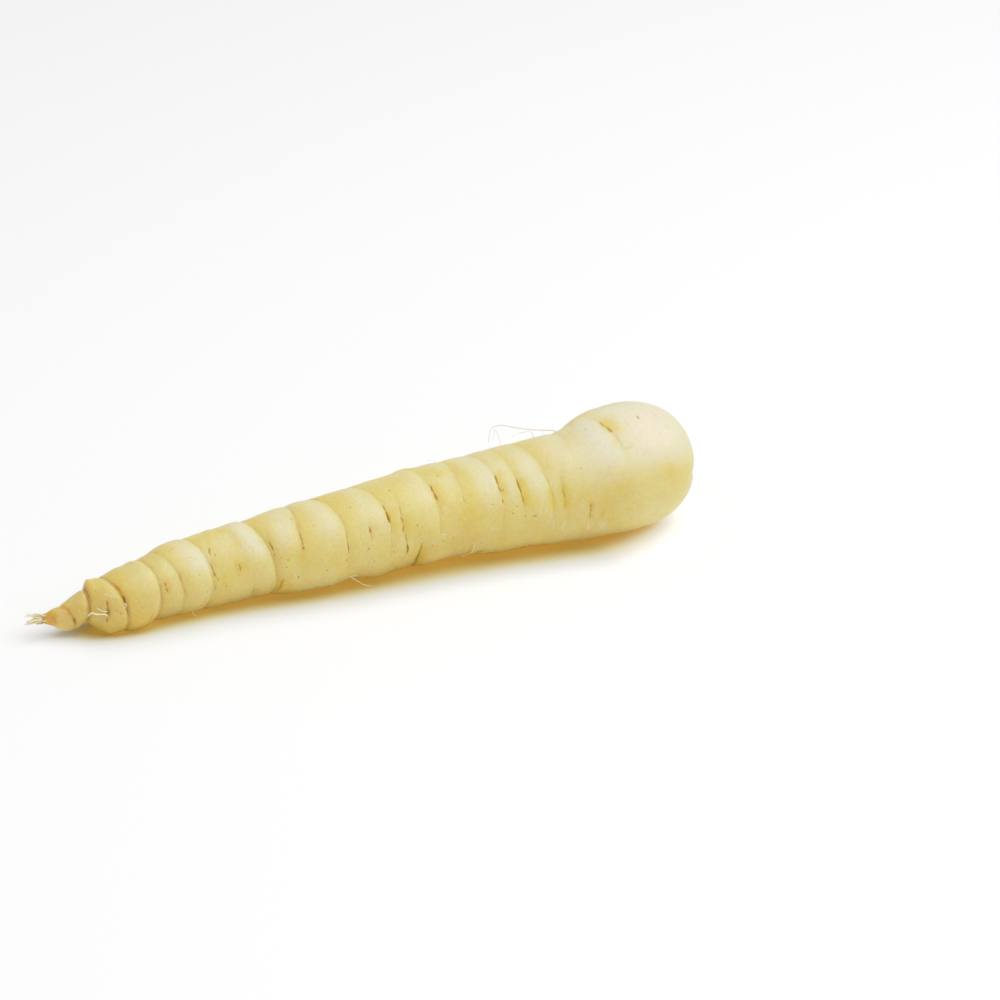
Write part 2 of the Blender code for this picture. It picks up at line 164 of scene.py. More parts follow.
# Short creases and scars between those
SCARS = (
    Crease(19.3, 0.5, middle=84.0, spread=40.0),
    Crease(33.2, 0.35, middle=70.0, spread=24.0),
    Crease(46.9, 0.35, middle=50.0, spread=34.0),
    Crease(49.0, 0.6, middle=-50.0, spread=60.0),
    Crease(53.0, 0.3, middle=70.0, spread=20.0),
    Crease(54.6, 0.3, middle=28.0, spread=45.0),
    Crease(57.0, 0.75, middle=128.0, spread=46.0),
    Crease(65.0, 0.5, middle=-130.0, spread=60.0),
    Crease(78.5, 0.7, middle=146.0, spread=50.0),
    Crease(81.0, 0.5, middle=-80.0, spread=50.0),
    Crease(87.6, 0.3, middle=66.0, spread=20.0),
    Crease(95.0, 0.6, middle=-110.0, spread=60.0),
    Crease(108.5, 0.6, middle=-150.0, spread=60.0),
    Crease(117.0, 0.5, middle=-100.0, spread=50.0),
    Crease(122.0, 0.5, middle=160.0, spread=50.0),
    Crease(131.0, 0.6, middle=-140.0, spread=55.0),
    Crease(137.0, 0.5, middle=-80.0, spread=50.0),
    Crease(146.7, 0.45, middle=94.0, spread=24.0),
    Crease(148.9, 0.3, middle=100.0, spread=16.0),
    Crease(150.0, 0.5, middle=-140.0, spread=50.0),
    Crease(158.0, 0.4, middle=-100.0, spread=45.0),
)


@dataclass(frozen=True)
class Swelling:
    """A soft lump on the flank, or a hollow where its height is negative."""

    at: float
    angle: float
    height: float
    reach: float
    spread: float

    def rise(self, station: np.ndarray, angle: np.ndarray) -> np.ndarray:
        """The height that the lump adds at a station and an angle."""
        along = (station - self.at) / self.reach
        around = wrapped(angle - self.angle) / self.spread
        return self.height * np.exp(-(along**2) - around**2)


SWELLINGS = (
    Swelling(18.2, -24.0, 1.4, 2.8, 60.0),
    Swelling(17.0, -24.0, 1.5, 1.0, 55.0),
    Swelling(9.0, 160.0, 3.0, 2.2, 60.0),
    Swelling(14.4, 155.0, -2.6, 1.9, 55.0),
    Swelling(19.0, 150.0, 1.2, 1.8, 45.0),
    Swelling(24.5, 130.0, 1.2, 4.5, 50.0),
    Swelling(27.4, -20.0, -0.5, 1.6, 50.0),
    Swelling(33.4, -20.0, -0.6, 2.6, 60.0),
    Swelling(50.0, -20.0, 0.45, 2.6, 60.0),
    Swelling(57.5, -20.0, 0.45, 3.2, 60.0),
    Swelling(103.4, -20.0, 0.8, 2.2, 50.0),
    Swelling(46.0, 140.0, 0.5, 7.0, 50.0),
    Swelling(65.0, 170.0, 0.4, 6.0, 50.0),
    Swelling(73.0, 128.0, 0.7, 6.0, 45.0),
    Swelling(78.5, 145.0, 1.0, 2.8, 38.0),
    Swelling(90.0, 143.0, 0.9, 3.8, 38.0),
    Swelling(96.5, 143.0, 0.3, 2.0, 35.0),
    Swelling(104.5, 140.0, 0.9, 4.6, 40.0),
    Swelling(122.5, 150.0, 0.8, 4.5, 35.0),
    Swelling(136.0, -30.0, -0.5, 10.0, 60.0),
    Swelling(158.0, -10.0, 0.3, 7.0, 60.0),
    Swelling(166.0, 112.0, -0.7, 9.0, 45.0),
    Swelling(112.0, -120.0, 0.5, 12.0, 60.0),
    Swelling(72.0, -100.0, 0.4, 9.0, 60.0),
)


class Ripple:
    """A smooth random unevenness over the skin, the same each time."""

    def __init__(self, seed: int, length: float, waves: int) -> None:
        """Draws the heights that the unevenness runs through.

        Args:
            seed: the number that picks the pattern.
            length: the distance between heights along the root.
            waves: how many heights there are round it.
        """
        self.length = length
        self.waves = waves
        self.heights = np.random.default_rng(seed).uniform(-1.0, 1.0, (int(ROOT_LENGTH / length) + 3, waves))

    def at(self, station: np.ndarray, angle: np.ndarray) -> np.ndarray:
        """The unevenness at a station and an angle, from -1 to 1."""
        row, side = station / self.length, (angle % 360.0) / 360.0 * self.waves
        low, left = np.floor(row).astype(int), np.floor(side).astype(int)
        up, over = row - low, side - left
        up, over = up * up * (3.0 - 2.0 * up), over * over * (3.0 - 2.0 * over)
        low = np.clip(low, 0, len(self.heights) - 2)
        right = (left + 1) % self.waves
        left = left % self.waves
        near = self.heights[low, left] * (1.0 - over) + self.heights[low, right] * over
        far = self.heights[low + 1, left] * (1.0 - over) + self.heights[low + 1, right] * over
        return near * (1.0 - up) + far * up


@dataclass(frozen=True)
class RootForm:
    """The form of the root: its girth, its bend, its lift off the surface and its relief.

    Each table gives a value at stations along the root. A wave in the flank is its height, how often it
    goes round, its length along the root and its phase.
    """

    tail_end: float = 3.9
    shoulder: float = 163.5
    crown_height: float = 16.2
    crown_bluntness: float = 0.72
    dimple_depth: float = 3.4
    dimple_radius: float = 6.0
    dimple_squareness: float = 2.4
    rest_depth: float = 0.45
    relief_girth: float = 9.0
    spine_step: float = 0.5
    groove_width: float = 0.5
    hollow_width: float = 3.4
    groove_share: tuple[Point, ...] = (
        (0.0, 0.26), (22.0, 0.24), (31.0, 0.12), (60.0, 0.10), (90.0, 0.04), (180.0, 0.02),
    )
    lip_width: tuple[Point, ...] = ((0.0, 1.2), (45.0, 1.7), (90.0, 2.4), (130.0, 3.4), (180.0, 3.6))
    girth: tuple[Point, ...] = (
        (3.9, 0.5), (4.3, 1.0), (5.4, 1.42), (7.1, 2.12), (9.0, 2.75), (10.8, 3.5), (12.5, 4.2), (17.0, 5.9),
        (22.0, 7.4), (30.0, 8.4), (38.0, 9.1), (50.0, 9.3), (60.0, 9.9), (70.0, 10.7), (85.0, 11.5),
        (100.0, 12.1), (115.0, 12.6), (130.0, 13.5), (142.0, 14.2), (150.0, 14.9), (157.0, 16.2),
        (163.5, 16.5),
    )
    side_bend: tuple[Point, ...] = (
        (0.0, 1.0), (8.0, -1.4), (16.0, -2.0), (24.0, -2.2), (36.0, -0.5), (50.0, 0.8), (70.0, 0.0),
        (90.0, 0.0), (110.0, 0.6), (134.0, -0.8), (150.0, -2.2), (163.5, -1.6), (180.0, 0.2),
    )
    lift: tuple[Point, ...] = (
        (0.0, 5.2), (5.0, 4.2), (9.0, 3.1), (12.0, 2.2), (20.0, 0.3), (30.0, 0.0), (60.0, 0.3), (95.0, 0.7),
        (125.0, 0.4), (148.0, 0.0), (163.5, 0.0), (180.0, 0.3),
    )
    waves: tuple[tuple[float, int, float, float], ...] = (
        (0.20, 2, 17.0, 0.0), (0.14, 3, -11.0, 1.3), (0.10, 1, 5.3, 0.6),
    )

    def spine(self, station: np.ndarray) -> np.ndarray:
        """The middle of the root at a station."""
        station = np.asarray(station, float)
        height = smooth_curve(self.girth, station) - self.rest_depth + smooth_curve(self.lift, station)
        return np.stack([station, smooth_curve(self.side_bend, station), height], -1)

    def axes(self, station: np.ndarray) -> tuple[np.ndarray, np.ndarray, np.ndarray]:
        """The root's directions at a station: along it, up out of its top, and out of its front."""
        along = self.spine(station + self.spine_step) - self.spine(station - self.spine_step)
        along /= np.linalg.norm(along, axis=-1, keepdims=True)
        front = np.cross(along, (0.0, 0.0, 1.0))
        front /= np.linalg.norm(front, axis=-1, keepdims=True)
        return along, np.cross(front, along), front

    def crease_depth(self, station: np.ndarray, angle: np.ndarray) -> np.ndarray:
        """How far all the creases draw the skin in: steeply on the tail side, gently on the other."""
        total = np.zeros(np.broadcast(station, angle).shape)
        groove_share = smooth_curve(self.groove_share, station)
        lip_width = smooth_curve(self.lip_width, station)
        for crease in GUIDES + SCARS:
            off = station - crease.path(angle)
            width = np.where(off < 0.0, lip_width, self.hollow_width)
            groove = groove_share * np.exp(-((off / self.groove_width) ** 2))
            hollow = (1.0 - groove_share) * np.exp(-np.abs(off) / width)
            total += crease.depth * crease.strength(angle) * (groove + hollow)
        return total

    def relief(self, station: np.ndarray) -> np.ndarray:
        """How much of the relief a station has: it shrinks with the root at the tail."""
        return np.clip(smooth_curve(self.girth, station) / self.relief_girth, 0.0, 1.0)

    def radius(self, station: np.ndarray, angle: np.ndarray) -> np.ndarray:
        """The distance from the middle of the root to its skin."""
        lumps = sum(swelling.rise(station, angle) for swelling in SWELLINGS)
        for height, count, reach, phase in self.waves:
            lumps = lumps + height * np.sin(count * np.radians(angle) + station / reach + phase)
        lumps = lumps - self.crease_depth(station, angle)
        return smooth_curve(self.girth, station) + self.relief(station) * lumps

    def dimple(self, radius: np.ndarray) -> np.ndarray:
        """How deep the crown's hollow is at a distance from its middle."""
        return self.dimple_depth * np.exp(-((radius / self.dimple_radius) ** self.dimple_squareness))

    def points(self, station: np.ndarray, angle: np.ndarray, radius: np.ndarray) -> np.ndarray:
        """Points at a distance from the spine, in metres and in the part's frame.

        Args:
            station: where they are along the root.
            angle: where they are round it.
            radius: how far they are from its middle.

        Returns:
            The points, pressed flat where they would sink into the surface.
        """
        _, up, front = self.axes(station)
        turn = np.radians(angle)[..., None]
        reach = np.asarray(radius, float)[..., None]
        found = self.spine(station) + (up * np.cos(turn) + front * np.sin(turn)) * reach
        found[..., 2] = np.maximum(found[..., 2], 0.0)
        return (found + np.array(SEAT)) * MM

    def skin_point(self, station: float, angle: float, lift: float = 0.0) -> Vector:
        """One point on the skin, or lift above it, in metres."""
        place = np.array([station]), np.array([angle])
        return Vector(self.points(*place, self.radius(*place) + lift)[0])


class MarkKind(Enum):
    """What a mark on the skin is."""

    SLIT = "slit"       # a thin brown split, sunk into the skin
    STAIN = "stain"     # a soft yellow or brown patch
    THREAD = "thread"   # a pale thin line of loose skin


@dataclass(frozen=True)
class Mark:
    """A mark on the skin: a line through (station, angle) points.

    A tapered one is narrower and weaker at its ends, and strays a little from its line.
    """

    kind: MarkKind
    strength: float
    width: float
    points: tuple[Point, ...]
    tapered: bool = True
    end_width: float = 0.5
    middle_growth: float = 0.45
    end_strength: float = 0.3
    ends: Point = (0.02, 0.98)

    def distance(self, where: "Places") -> tuple[np.ndarray, np.ndarray]:
        """How near skin points are to the mark.

        Args:
            where: the points.

        Returns:
            Their distances in millimetres, and how far along the mark they are, from 0 to 1.
        """
        nearest, along = np.full(where.station.shape, FAR), np.zeros(where.station.shape)
        scale = np.radians(1.0) * where.radius
        station = where.station + (where.stray if self.tapered else 0.0)
        for number, ((s0, a0), (s1, a1)) in enumerate(zip(self.points, self.points[1:])):
            x, y = station - s0, wrapped(where.angle - a0) * scale
            dx, dy = s1 - s0, (a1 - a0) * scale
            share = np.clip((x * dx + y * dy) / (dx * dx + dy * dy + 1e-9), 0.0, 1.0)
            off = np.hypot(x - share * dx, y - share * dy)
            along = np.where(off < nearest, (number + share) / (len(self.points) - 1), along)
            nearest = np.minimum(nearest, off)
        return nearest, along

    def shown(self, where: "Places") -> np.ndarray:
        """How strongly the mark shows at skin points; it thins out towards its ends."""
        off, along = self.distance(where)
        if self.kind is MarkKind.STAIN:
            return self.strength * np.exp(-((off / self.width) ** 2))
        full = np.sqrt(np.sin(np.pi * np.clip(along, *self.ends))) if self.tapered else 1.0
        width = self.width * (self.end_width + self.middle_growth * full)
        strength = self.strength * (self.end_strength + (1.0 - self.end_strength) * full)
        return strength * np.exp(-((off / width) ** 2))


def slit(strength: float, *points: Point, width: float = 0.2) -> Mark:
    """A brown split through the points."""
    return Mark(MarkKind.SLIT, strength, width, points)


def stain(strength: float, *points: Point, width: float = 1.0) -> Mark:
    """A soft patch along the points."""
    return Mark(MarkKind.STAIN, strength, width, points)


def thread(strength: float, *points: Point, width: float = 0.2) -> Mark:
    """A pale line through the points."""
    return Mark(MarkKind.THREAD, strength, width, points)


def dot(station: float, angle: float, strength: float = 0.7, width: float = 0.17) -> Mark:
    """A small brown dot: a split of hardly any length."""
    return Mark(MarkKind.SLIT, strength, width, ((station, angle), (station + 0.02, angle + 1.0)), False)


# What can be seen on the front of the root, from the tail to the crown
FRONT_MARKS = (
    slit(0.8, (5.9, 118.0), (6.0, 140.0)),
    slit(0.5, (9.0, 16.0), (9.9, 30.0)),
    slit(1.0, (11.3, 80.0), (11.5, 113.0), width=0.36),
    slit(0.5, (15.9, -21.0), (16.0, 20.0), (16.1, 38.0)),
    slit(0.35, (16.1, 38.0), (15.9, 53.0), (15.1, 84.0)),
    slit(0.5, (15.3, 89.0), (14.5, 116.0)),
    slit(0.85, (19.7, 54.0), (19.5, 69.0), width=0.27),
    slit(1.0, (19.4, 72.0), (19.1, 90.0), width=0.4),
    slit(0.75, (18.9, 93.0), (18.5, 107.0), width=0.25),
    slit(0.45, (22.6, 22.0), (23.3, 50.0)),
    slit(1.0, (23.3, 55.0), (23.3, 73.0), width=0.26),
    slit(0.35, (23.3, 75.0), (23.4, 100.0)),
    slit(0.25, (30.8, -24.0), (31.2, -2.0), (31.4, 25.0)),
    slit(0.4, (28.6, 105.0), (27.6, 129.0)),
    slit(0.8, (33.2, 60.0), (33.1, 66.0)),
    slit(0.7, (33.2, 70.0), (33.2, 78.0)),
    slit(0.4, (38.1, 3.0), (38.1, 12.0)),
    slit(0.55, (37.7, 50.0), (37.7, 71.0), width=0.16),
    slit(0.35, (37.8, 76.0), (37.9, 98.0), width=0.16),
    slit(0.8, (47.4, 22.0), (47.0, 35.0)),
    slit(0.7, (46.5, 48.0), (46.6, 67.0), width=0.17),
    slit(0.9, (46.6, 67.0), (46.9, 76.0), width=0.24),
    slit(0.5, (47.0, 78.0), (47.4, 84.0)),
    slit(0.3, (46.0, 89.0), (46.5, 100.0)),
    slit(0.8, (54.1, 65.0), (54.0, 78.0)),
    slit(0.25, (63.4, 25.0), (63.3, 40.0)),
    slit(0.9, (63.3, 42.0), (63.6, 58.0), width=0.24),
    slit(0.4, (63.6, 60.0), (63.7, 68.0)),
    slit(0.3, (62.2, 103.0), (61.4, 123.0)),
    slit(0.35, (57.4, 104.0), (56.8, 134.0), width=0.25),
    slit(0.55, (64.5, 106.0), (64.1, 118.0), (63.2, 131.0), width=0.45),
    slit(0.6, (70.8, 40.0), (70.5, 63.0), width=0.17),
    slit(1.0, (70.5, 64.0), (70.4, 67.0), width=0.3),
    slit(0.4, (81.7, 58.0), (81.5, 71.0), width=0.17),
    slit(0.65, (81.5, 71.0), (81.4, 87.0), width=0.17),
    slit(0.3, (76.3, 123.0), (76.0, 143.0)),
    slit(0.7, (87.6, 60.0), (87.6, 68.0), width=0.3),
    slit(0.4, (87.6, 68.0), (87.6, 77.0)),
    slit(0.5, (92.7, 36.0), (92.8, 46.0)),
    slit(1.0, (92.8, 46.0), (93.0, 61.0), width=0.34),
    slit(0.3, (93.0, 64.0), (92.9, 74.0)),
    slit(0.4, (96.4, 44.0), (96.1, 57.0)),
    slit(0.7, (96.1, 57.0), (96.0, 66.0), width=0.25),
    slit(0.6, (96.0, 68.0), (95.9, 77.0), width=0.3),
    slit(0.5, (96.2, 80.0), (96.5, 92.0), width=0.17),
    slit(1.0, (96.5, 93.0), (96.7, 109.0), width=0.27),
    slit(0.75, (100.5, 98.0), (100.4, 112.0), (100.3, 133.0), (100.9, 160.0), width=0.26),
    slit(0.8, (106.4, 25.0), (106.5, 36.0), width=0.25),
    slit(0.8, (106.5, 37.0), (106.8, 50.0), width=0.3),
    slit(0.25, (106.9, 52.0), (107.0, 67.0)),
    slit(0.35, (113.9, 50.0), (114.1, 60.0)),
    slit(0.7, (124.2, 33.0), (124.2, 47.0), width=0.36),
    slit(0.7, (124.3, 47.0), (124.4, 56.0), width=0.27),
    slit(0.7, (124.3, 64.0), (124.3, 69.0), width=0.26),
    slit(0.7, (129.3, 44.0), (129.6, 62.0), width=0.3),
    slit(0.45, (129.6, 62.0), (129.7, 75.0), width=0.4),
    slit(0.3, (133.6, 28.0), (135.9, 41.0), (137.0, 51.0), (137.5, 59.0), width=0.12),
    slit(0.25, (137.8, 65.0), (138.2, 80.0)),
    slit(0.2, (140.5, 46.0), (140.6, 61.0), width=0.14),
    slit(0.4, (140.6, 64.0), (141.1, 76.0), width=0.3),
    slit(0.25, (141.0, 78.0), (140.8, 88.0)),
    slit(0.8, (131.6, 90.0), (132.8, 89.5)),
    slit(0.3, (134.7, 80.0), (134.3, 96.0), width=0.14),
    slit(0.6, (147.2, 86.0), (146.9, 94.0), width=0.3),
    slit(0.7, (146.9, 94.0), (146.7, 97.0), width=0.3),
    slit(0.5, (146.7, 97.0), (146.7, 105.0), width=0.3),
    slit(0.3, (149.7, 97.0), (149.3, 107.0), width=0.3),
    slit(0.5, (156.2, 5.0), (156.5, 14.0), width=0.22),
    slit(0.65, (156.5, 15.0), (156.8, 24.0), width=0.26),
    slit(0.25, (156.8, 24.0), (157.3, 44.0), width=0.14),
    slit(0.4, (152.9, 4.0), (153.0, 10.0)),
    slit(0.7, (163.5, 14.0), (163.8, 20.0), width=0.22),
    slit(0.35, (168.2, 10.0), (169.2, 24.0), width=0.24),
    slit(0.5, (165.4, 133.0), (168.3, 123.0), width=0.24),
    slit(0.5, (132.6, 138.0), (132.4, 144.0), width=0.3),
    slit(0.5, (129.9, 142.0), (131.5, 143.0), width=0.2),
    slit(0.6, (117.6, 140.0), (118.8, 134.0), width=0.3),
    slit(0.5, (114.4, 146.0), (115.8, 128.0)),
    dot(21.1, 83.0), dot(17.8, 26.0, 0.5), dot(28.8, -11.0), dot(26.1, 88.0, 0.5), dot(38.8, 6.0),
    dot(34.2, 22.0, 0.4), dot(42.3, 65.0), dot(43.6, 97.0), dot(48.3, 38.0), dot(49.1, 94.0), dot(66.4, 76.0),
    dot(70.1, 17.0), dot(68.1, 104.0), dot(74.3, 39.0), dot(75.1, 102.0, 0.9), dot(80.5, 96.0),
    dot(86.5, 87.0), dot(87.7, 107.0), dot(95.8, 18.0), dot(65.8, 86.0, 0.5), dot(66.7, 99.0, 0.5),
    dot(68.2, 105.0, 0.5), dot(66.4, 104.0, 0.4), dot(93.0, 100.0), dot(107.1, 6.0), dot(99.5, 72.0),
    dot(106.5, 100.0), dot(121.4, 67.0), dot(126.5, 82.0), dot(127.8, 75.0), dot(129.6, 88.0, 0.5),
    dot(103.4, 104.0, 0.6), dot(104.8, 106.0, 0.5), dot(109.5, 99.0, 0.6),
    stain(0.45, (5.0, 20.0), (5.4, 80.0), (5.2, 150.0), width=1.5),
    stain(0.5, (9.2, 20.0), (9.8, 30.0), width=0.6),
    stain(0.4, (23.0, 32.0), (23.4, 60.0), width=0.9),
    stain(0.4, (33.4, 62.0), (33.6, 78.0), width=0.8),
    stain(0.35, (49.0, 90.0), (49.2, 100.0), width=0.8),
    stain(0.4, (52.7, -8.0), (54.1, 4.0), width=0.7),
    stain(0.4, (60.9, -14.0), (62.4, 2.0), width=0.8),
    stain(0.6, (64.3, 108.0), (63.6, 126.0), width=1.0),
    stain(0.55, (93.8, 48.0), (93.8, 66.0), width=1.1),
    stain(0.3, (97.0, 60.0), (97.2, 80.0), width=1.0),
    # Partly a stain and partly painted shadow beside the flap of the crease
    stain(0.9, (101.2, 108.0), (101.2, 140.0), width=0.9),
    stain(0.5, (107.6, 30.0), (107.6, 52.0), width=1.1),
    stain(0.5, (109.0, 4.0), (110.5, 12.0), width=1.4),
    stain(0.7, (125.2, 34.0), (125.3, 58.0), width=1.1),
    stain(0.65, (130.4, 48.0), (130.6, 74.0), width=1.1),
    stain(0.55, (137.4, 66.0), (138.0, 86.0), width=1.1),
    stain(0.7, (140.9, 64.0), (141.2, 84.0), width=1.1),
    stain(0.4, (147.2, 88.0), (147.0, 103.0), width=0.8),
    stain(0.35, (149.6, 98.0), (149.4, 106.0), width=0.7),
    stain(0.6, (157.0, 8.0), (157.6, 22.0), width=1.1),
    stain(0.5, (118.2, 140.0), (119.6, 134.0), width=0.9),
    stain(0.35, (166.2, 72.0), (166.8, 76.0), width=1.6),
    thread(0.5, (19.5, 39.0), (20.8, 48.0), (22.6, 56.0)),
    thread(0.5, (92.1, 73.0), (92.6, 68.0), (92.9, 62.0)),
    thread(0.4, (146.1, 109.0), (146.3, 121.0), width=0.26),
    thread(0.4, (149.3, 112.0), (148.8, 123.0), width=0.26),
    thread(0.35, (137.6, 100.0), (137.4, 110.0), width=0.26),
    thread(0.35, (140.6, 102.0), (140.1, 112.0), width=0.26),
    thread(0.4, (105.2, 92.0), (106.5, 90.0), (108.0, 94.0)),
    thread(0.4, (46.2, 84.0), (45.7, 98.0), (45.4, 118.0), width=0.3),
    thread(0.3, (31.0, 76.0), (30.4, 90.0), (29.0, 104.0), width=0.3),
    thread(0.3, (157.2, 26.0), (157.8, 36.0)),
)


@dataclass(frozen=True)
class HiddenMarks:
    """Splits, dots and stains for the back and the underside, which the creases there carry."""

    seed: int = 11
    sides: Triple = (150.0, 330.0, 34.0)
    side_stray: float = 18.0
    lengths: Point = (6.0, 20.0)
    strengths: Point = (0.2, 1.1)
    widths: Point = (0.14, 0.3)
    kept_share: float = 0.55
    faintest: float = 0.15
    slit_shift: float = 0.1
    stain_shift: float = 0.8
    stain_share: float = 0.6
    dots: int = 46
    dot_stations: Point = (8.0, 172.0)
    dot_angles: Point = (135.0, 340.0)
    dot_strengths: Point = (0.3, 0.8)

    def draw(self) -> tuple[Mark, ...]:
        """Draws the marks, the same each time."""
        random = np.random.default_rng(self.seed)
        made = []
        for crease in GUIDES + SCARS:
            for start in np.arange(*self.sides):
                angle = start + random.uniform(0.0, self.side_stray)
                length = random.uniform(*self.lengths)
                strength = random.uniform(*self.strengths) * float(crease.strength(np.array(angle)))
                if random.uniform() > self.kept_share or strength < self.faintest:
                    continue
                turns = (angle, angle + length)
                ends = [(float(crease.path(np.array(turn))) + self.slit_shift, turn) for turn in turns]
                beside = [(at + self.stain_shift, turn) for at, turn in ends]
                made.append(slit(strength, *ends, width=random.uniform(*self.widths)))
                made.append(stain(self.stain_share * strength, *beside))
        ranges = self.dot_stations, self.dot_angles, self.dot_strengths
        made += [dot(*(random.uniform(*limits) for limits in ranges)) for _ in range(self.dots)]
        return tuple(made)


class Value:
    """A socket of a material, on which arithmetic adds Math nodes."""

    def __init__(self, shader: "Shader", socket: bpy.types.NodeSocket) -> None:
        """Keeps the socket and the shader that it belongs to."""
        self.shader = shader
        self.socket = socket

    def __add__(self, other: "Value | float") -> "Value":
        """The sum."""
        return self.shader.maths("ADD", self, other)

    __radd__ = __add__

    def __sub__(self, other: "Value | float") -> "Value":
        """The difference."""
        return self.shader.maths("SUBTRACT", self, other)

    def __rsub__(self, other: float) -> "Value":
        """The difference, the other way round."""
        return self.shader.maths("SUBTRACT", other, self)

    def __mul__(self, other: "Value | float") -> "Value":
        """The product."""
        return self.shader.maths("MULTIPLY", self, other)

    __rmul__ = __mul__

    def __truediv__(self, other: "Value | float") -> "Value":
        """The quotient."""
        return self.shader.maths("DIVIDE", self, other)

    def between(self, low: float, high: float) -> "Value":
        """0 below low and 1 above high, with a smooth rise between them; low may be the larger."""
        settings = {"interpolation_type": "SMOOTHSTEP"}
        sockets = {"Value": self, "From Min": low, "From Max": high}
        return self.shader.node("ShaderNodeMapRange", settings, sockets)

    def within(self, rise: Point, fall: Point) -> "Value":
        """1 from the end of its rise to the end of its fall, which is given from the outside in."""
        return self.between(*rise) * self.between(*fall)


class Shader:
    """Builds the nodes of one material."""

    mix_sockets = 0, 6, 7       # a colour Mix node's factor and its two colours
    mix_result = 2

    def __init__(self, name: str) -> None:
        """Starts a material with a Principled shader.

        Args:
            name: the material's name.
        """
        self.material = bpy.data.materials.new(name)
        self.material.use_nodes = True
        self.principled = self.material.node_tree.nodes["Principled BSDF"]

    def node(
        self, kind: str, settings: dict | None = None, inputs: dict | None = None, output: int | str = 0
    ) -> Value:
        """Adds a node.

        Args:
            kind: its type.
            settings: its own settings, set first; "stops" are a ramp's (place, colour) pairs.
            inputs: the values or links of its sockets.
            output: the socket that it gives.

        Returns:
            That socket.
        """
        made = self.material.node_tree.nodes.new(kind)
        for name, setting in (settings or {}).items():
            if name == "stops":
                elements = made.color_ramp.elements
                while len(elements) < len(setting):
                    elements.new(1.0)
                for element, (place, colour) in zip(elements, setting):
                    element.position = place
                    element.color = colour
            else:
                setattr(made, name, setting)
        for key, value in (inputs or {}).items():
            self.feed(made.inputs[key], value)
        return Value(self, made.outputs[output])

    def feed(self, socket: bpy.types.NodeSocket, value: "Value | float | Colour") -> None:
        """Links a value to a socket, or sets the socket to a constant."""
        if isinstance(value, Value):
            self.material.node_tree.links.new(value.socket, socket)
        else:
            socket.default_value = value

    def maths(self, operation: str, first: "Value | float", second: "Value | float") -> Value:
        """One Math node."""
        return self.node("ShaderNodeMath", {"operation": operation}, {0: first, 1: second})

    def mix(self, share: "Value | float", first: "Value | Colour", second: "Value | Colour") -> Value:
        """Goes from the first colour to the second as share goes from 0 to 1."""
        sockets = dict(zip(self.mix_sockets, (share, first, second)))
        return self.node("ShaderNodeMix", {"data_type": "RGBA"}, sockets, self.mix_result)

    def layered(self, colour: Value, *layers: tuple["Value | float", Colour]) -> Value:
        """Paints layers over a colour.

        Args:
            colour: what lies under them.
            layers: the share and the colour of each, in the order of painting.

        Returns:
            The painted colour.
        """
        for share, paint in layers:
            colour = self.mix(share, colour, paint)
        return colour

    def attribute(self, name: str, output: str = "Fac") -> Value:
        """Reads an attribute of the mesh."""
        return self.node("ShaderNodeAttribute", {"attribute_name": name}, output=output)

    def noise(self, place: Value, scale: float, detail: float = 2.0, roughness: float = 0.5) -> Value:
        """A noise pattern, from 0 to 1."""
        sockets = {"Vector": place, "Scale": scale, "Detail": detail, "Roughness": roughness}
        return self.node("ShaderNodeTexNoise", None, sockets)

    def bump(self, height: Value, strength: float, depth: float) -> Value:
        """The normal of a surface with fine relief, which is depth metres high at a height of 1."""
        sockets = {"Strength": strength, "Distance": depth, "Height": height}
        return self.node("ShaderNodeBump", None, sockets)

    def objects(self) -> Value:
        """The place on the piece, in metres."""
        return self.node("ShaderNodeTexCoord", output="Object")

    def along(self, place: Value) -> Value:
        """A place's distance along the part, in metres."""
        return self.node("ShaderNodeSeparateXYZ", None, {0: place})

    def stretched(self, place: Value, scale: Grain) -> Value:
        """A place scaled along each axis."""
        return self.node("ShaderNodeVectorMath", {"operation": "MULTIPLY"}, {0: place, 1: scale})

    def surface(self, **sockets: "Value | float | Colour | tuple") -> bpy.types.Material:
        """Feeds the Principled shader; an underscore in a name stands for a space.

        Args:
            sockets: its sockets' values or links.

        Returns:
            The material.
        """
        for name, value in sockets.items():
            self.feed(self.principled.inputs[name.replace("_", " ")], value)
        return self.material


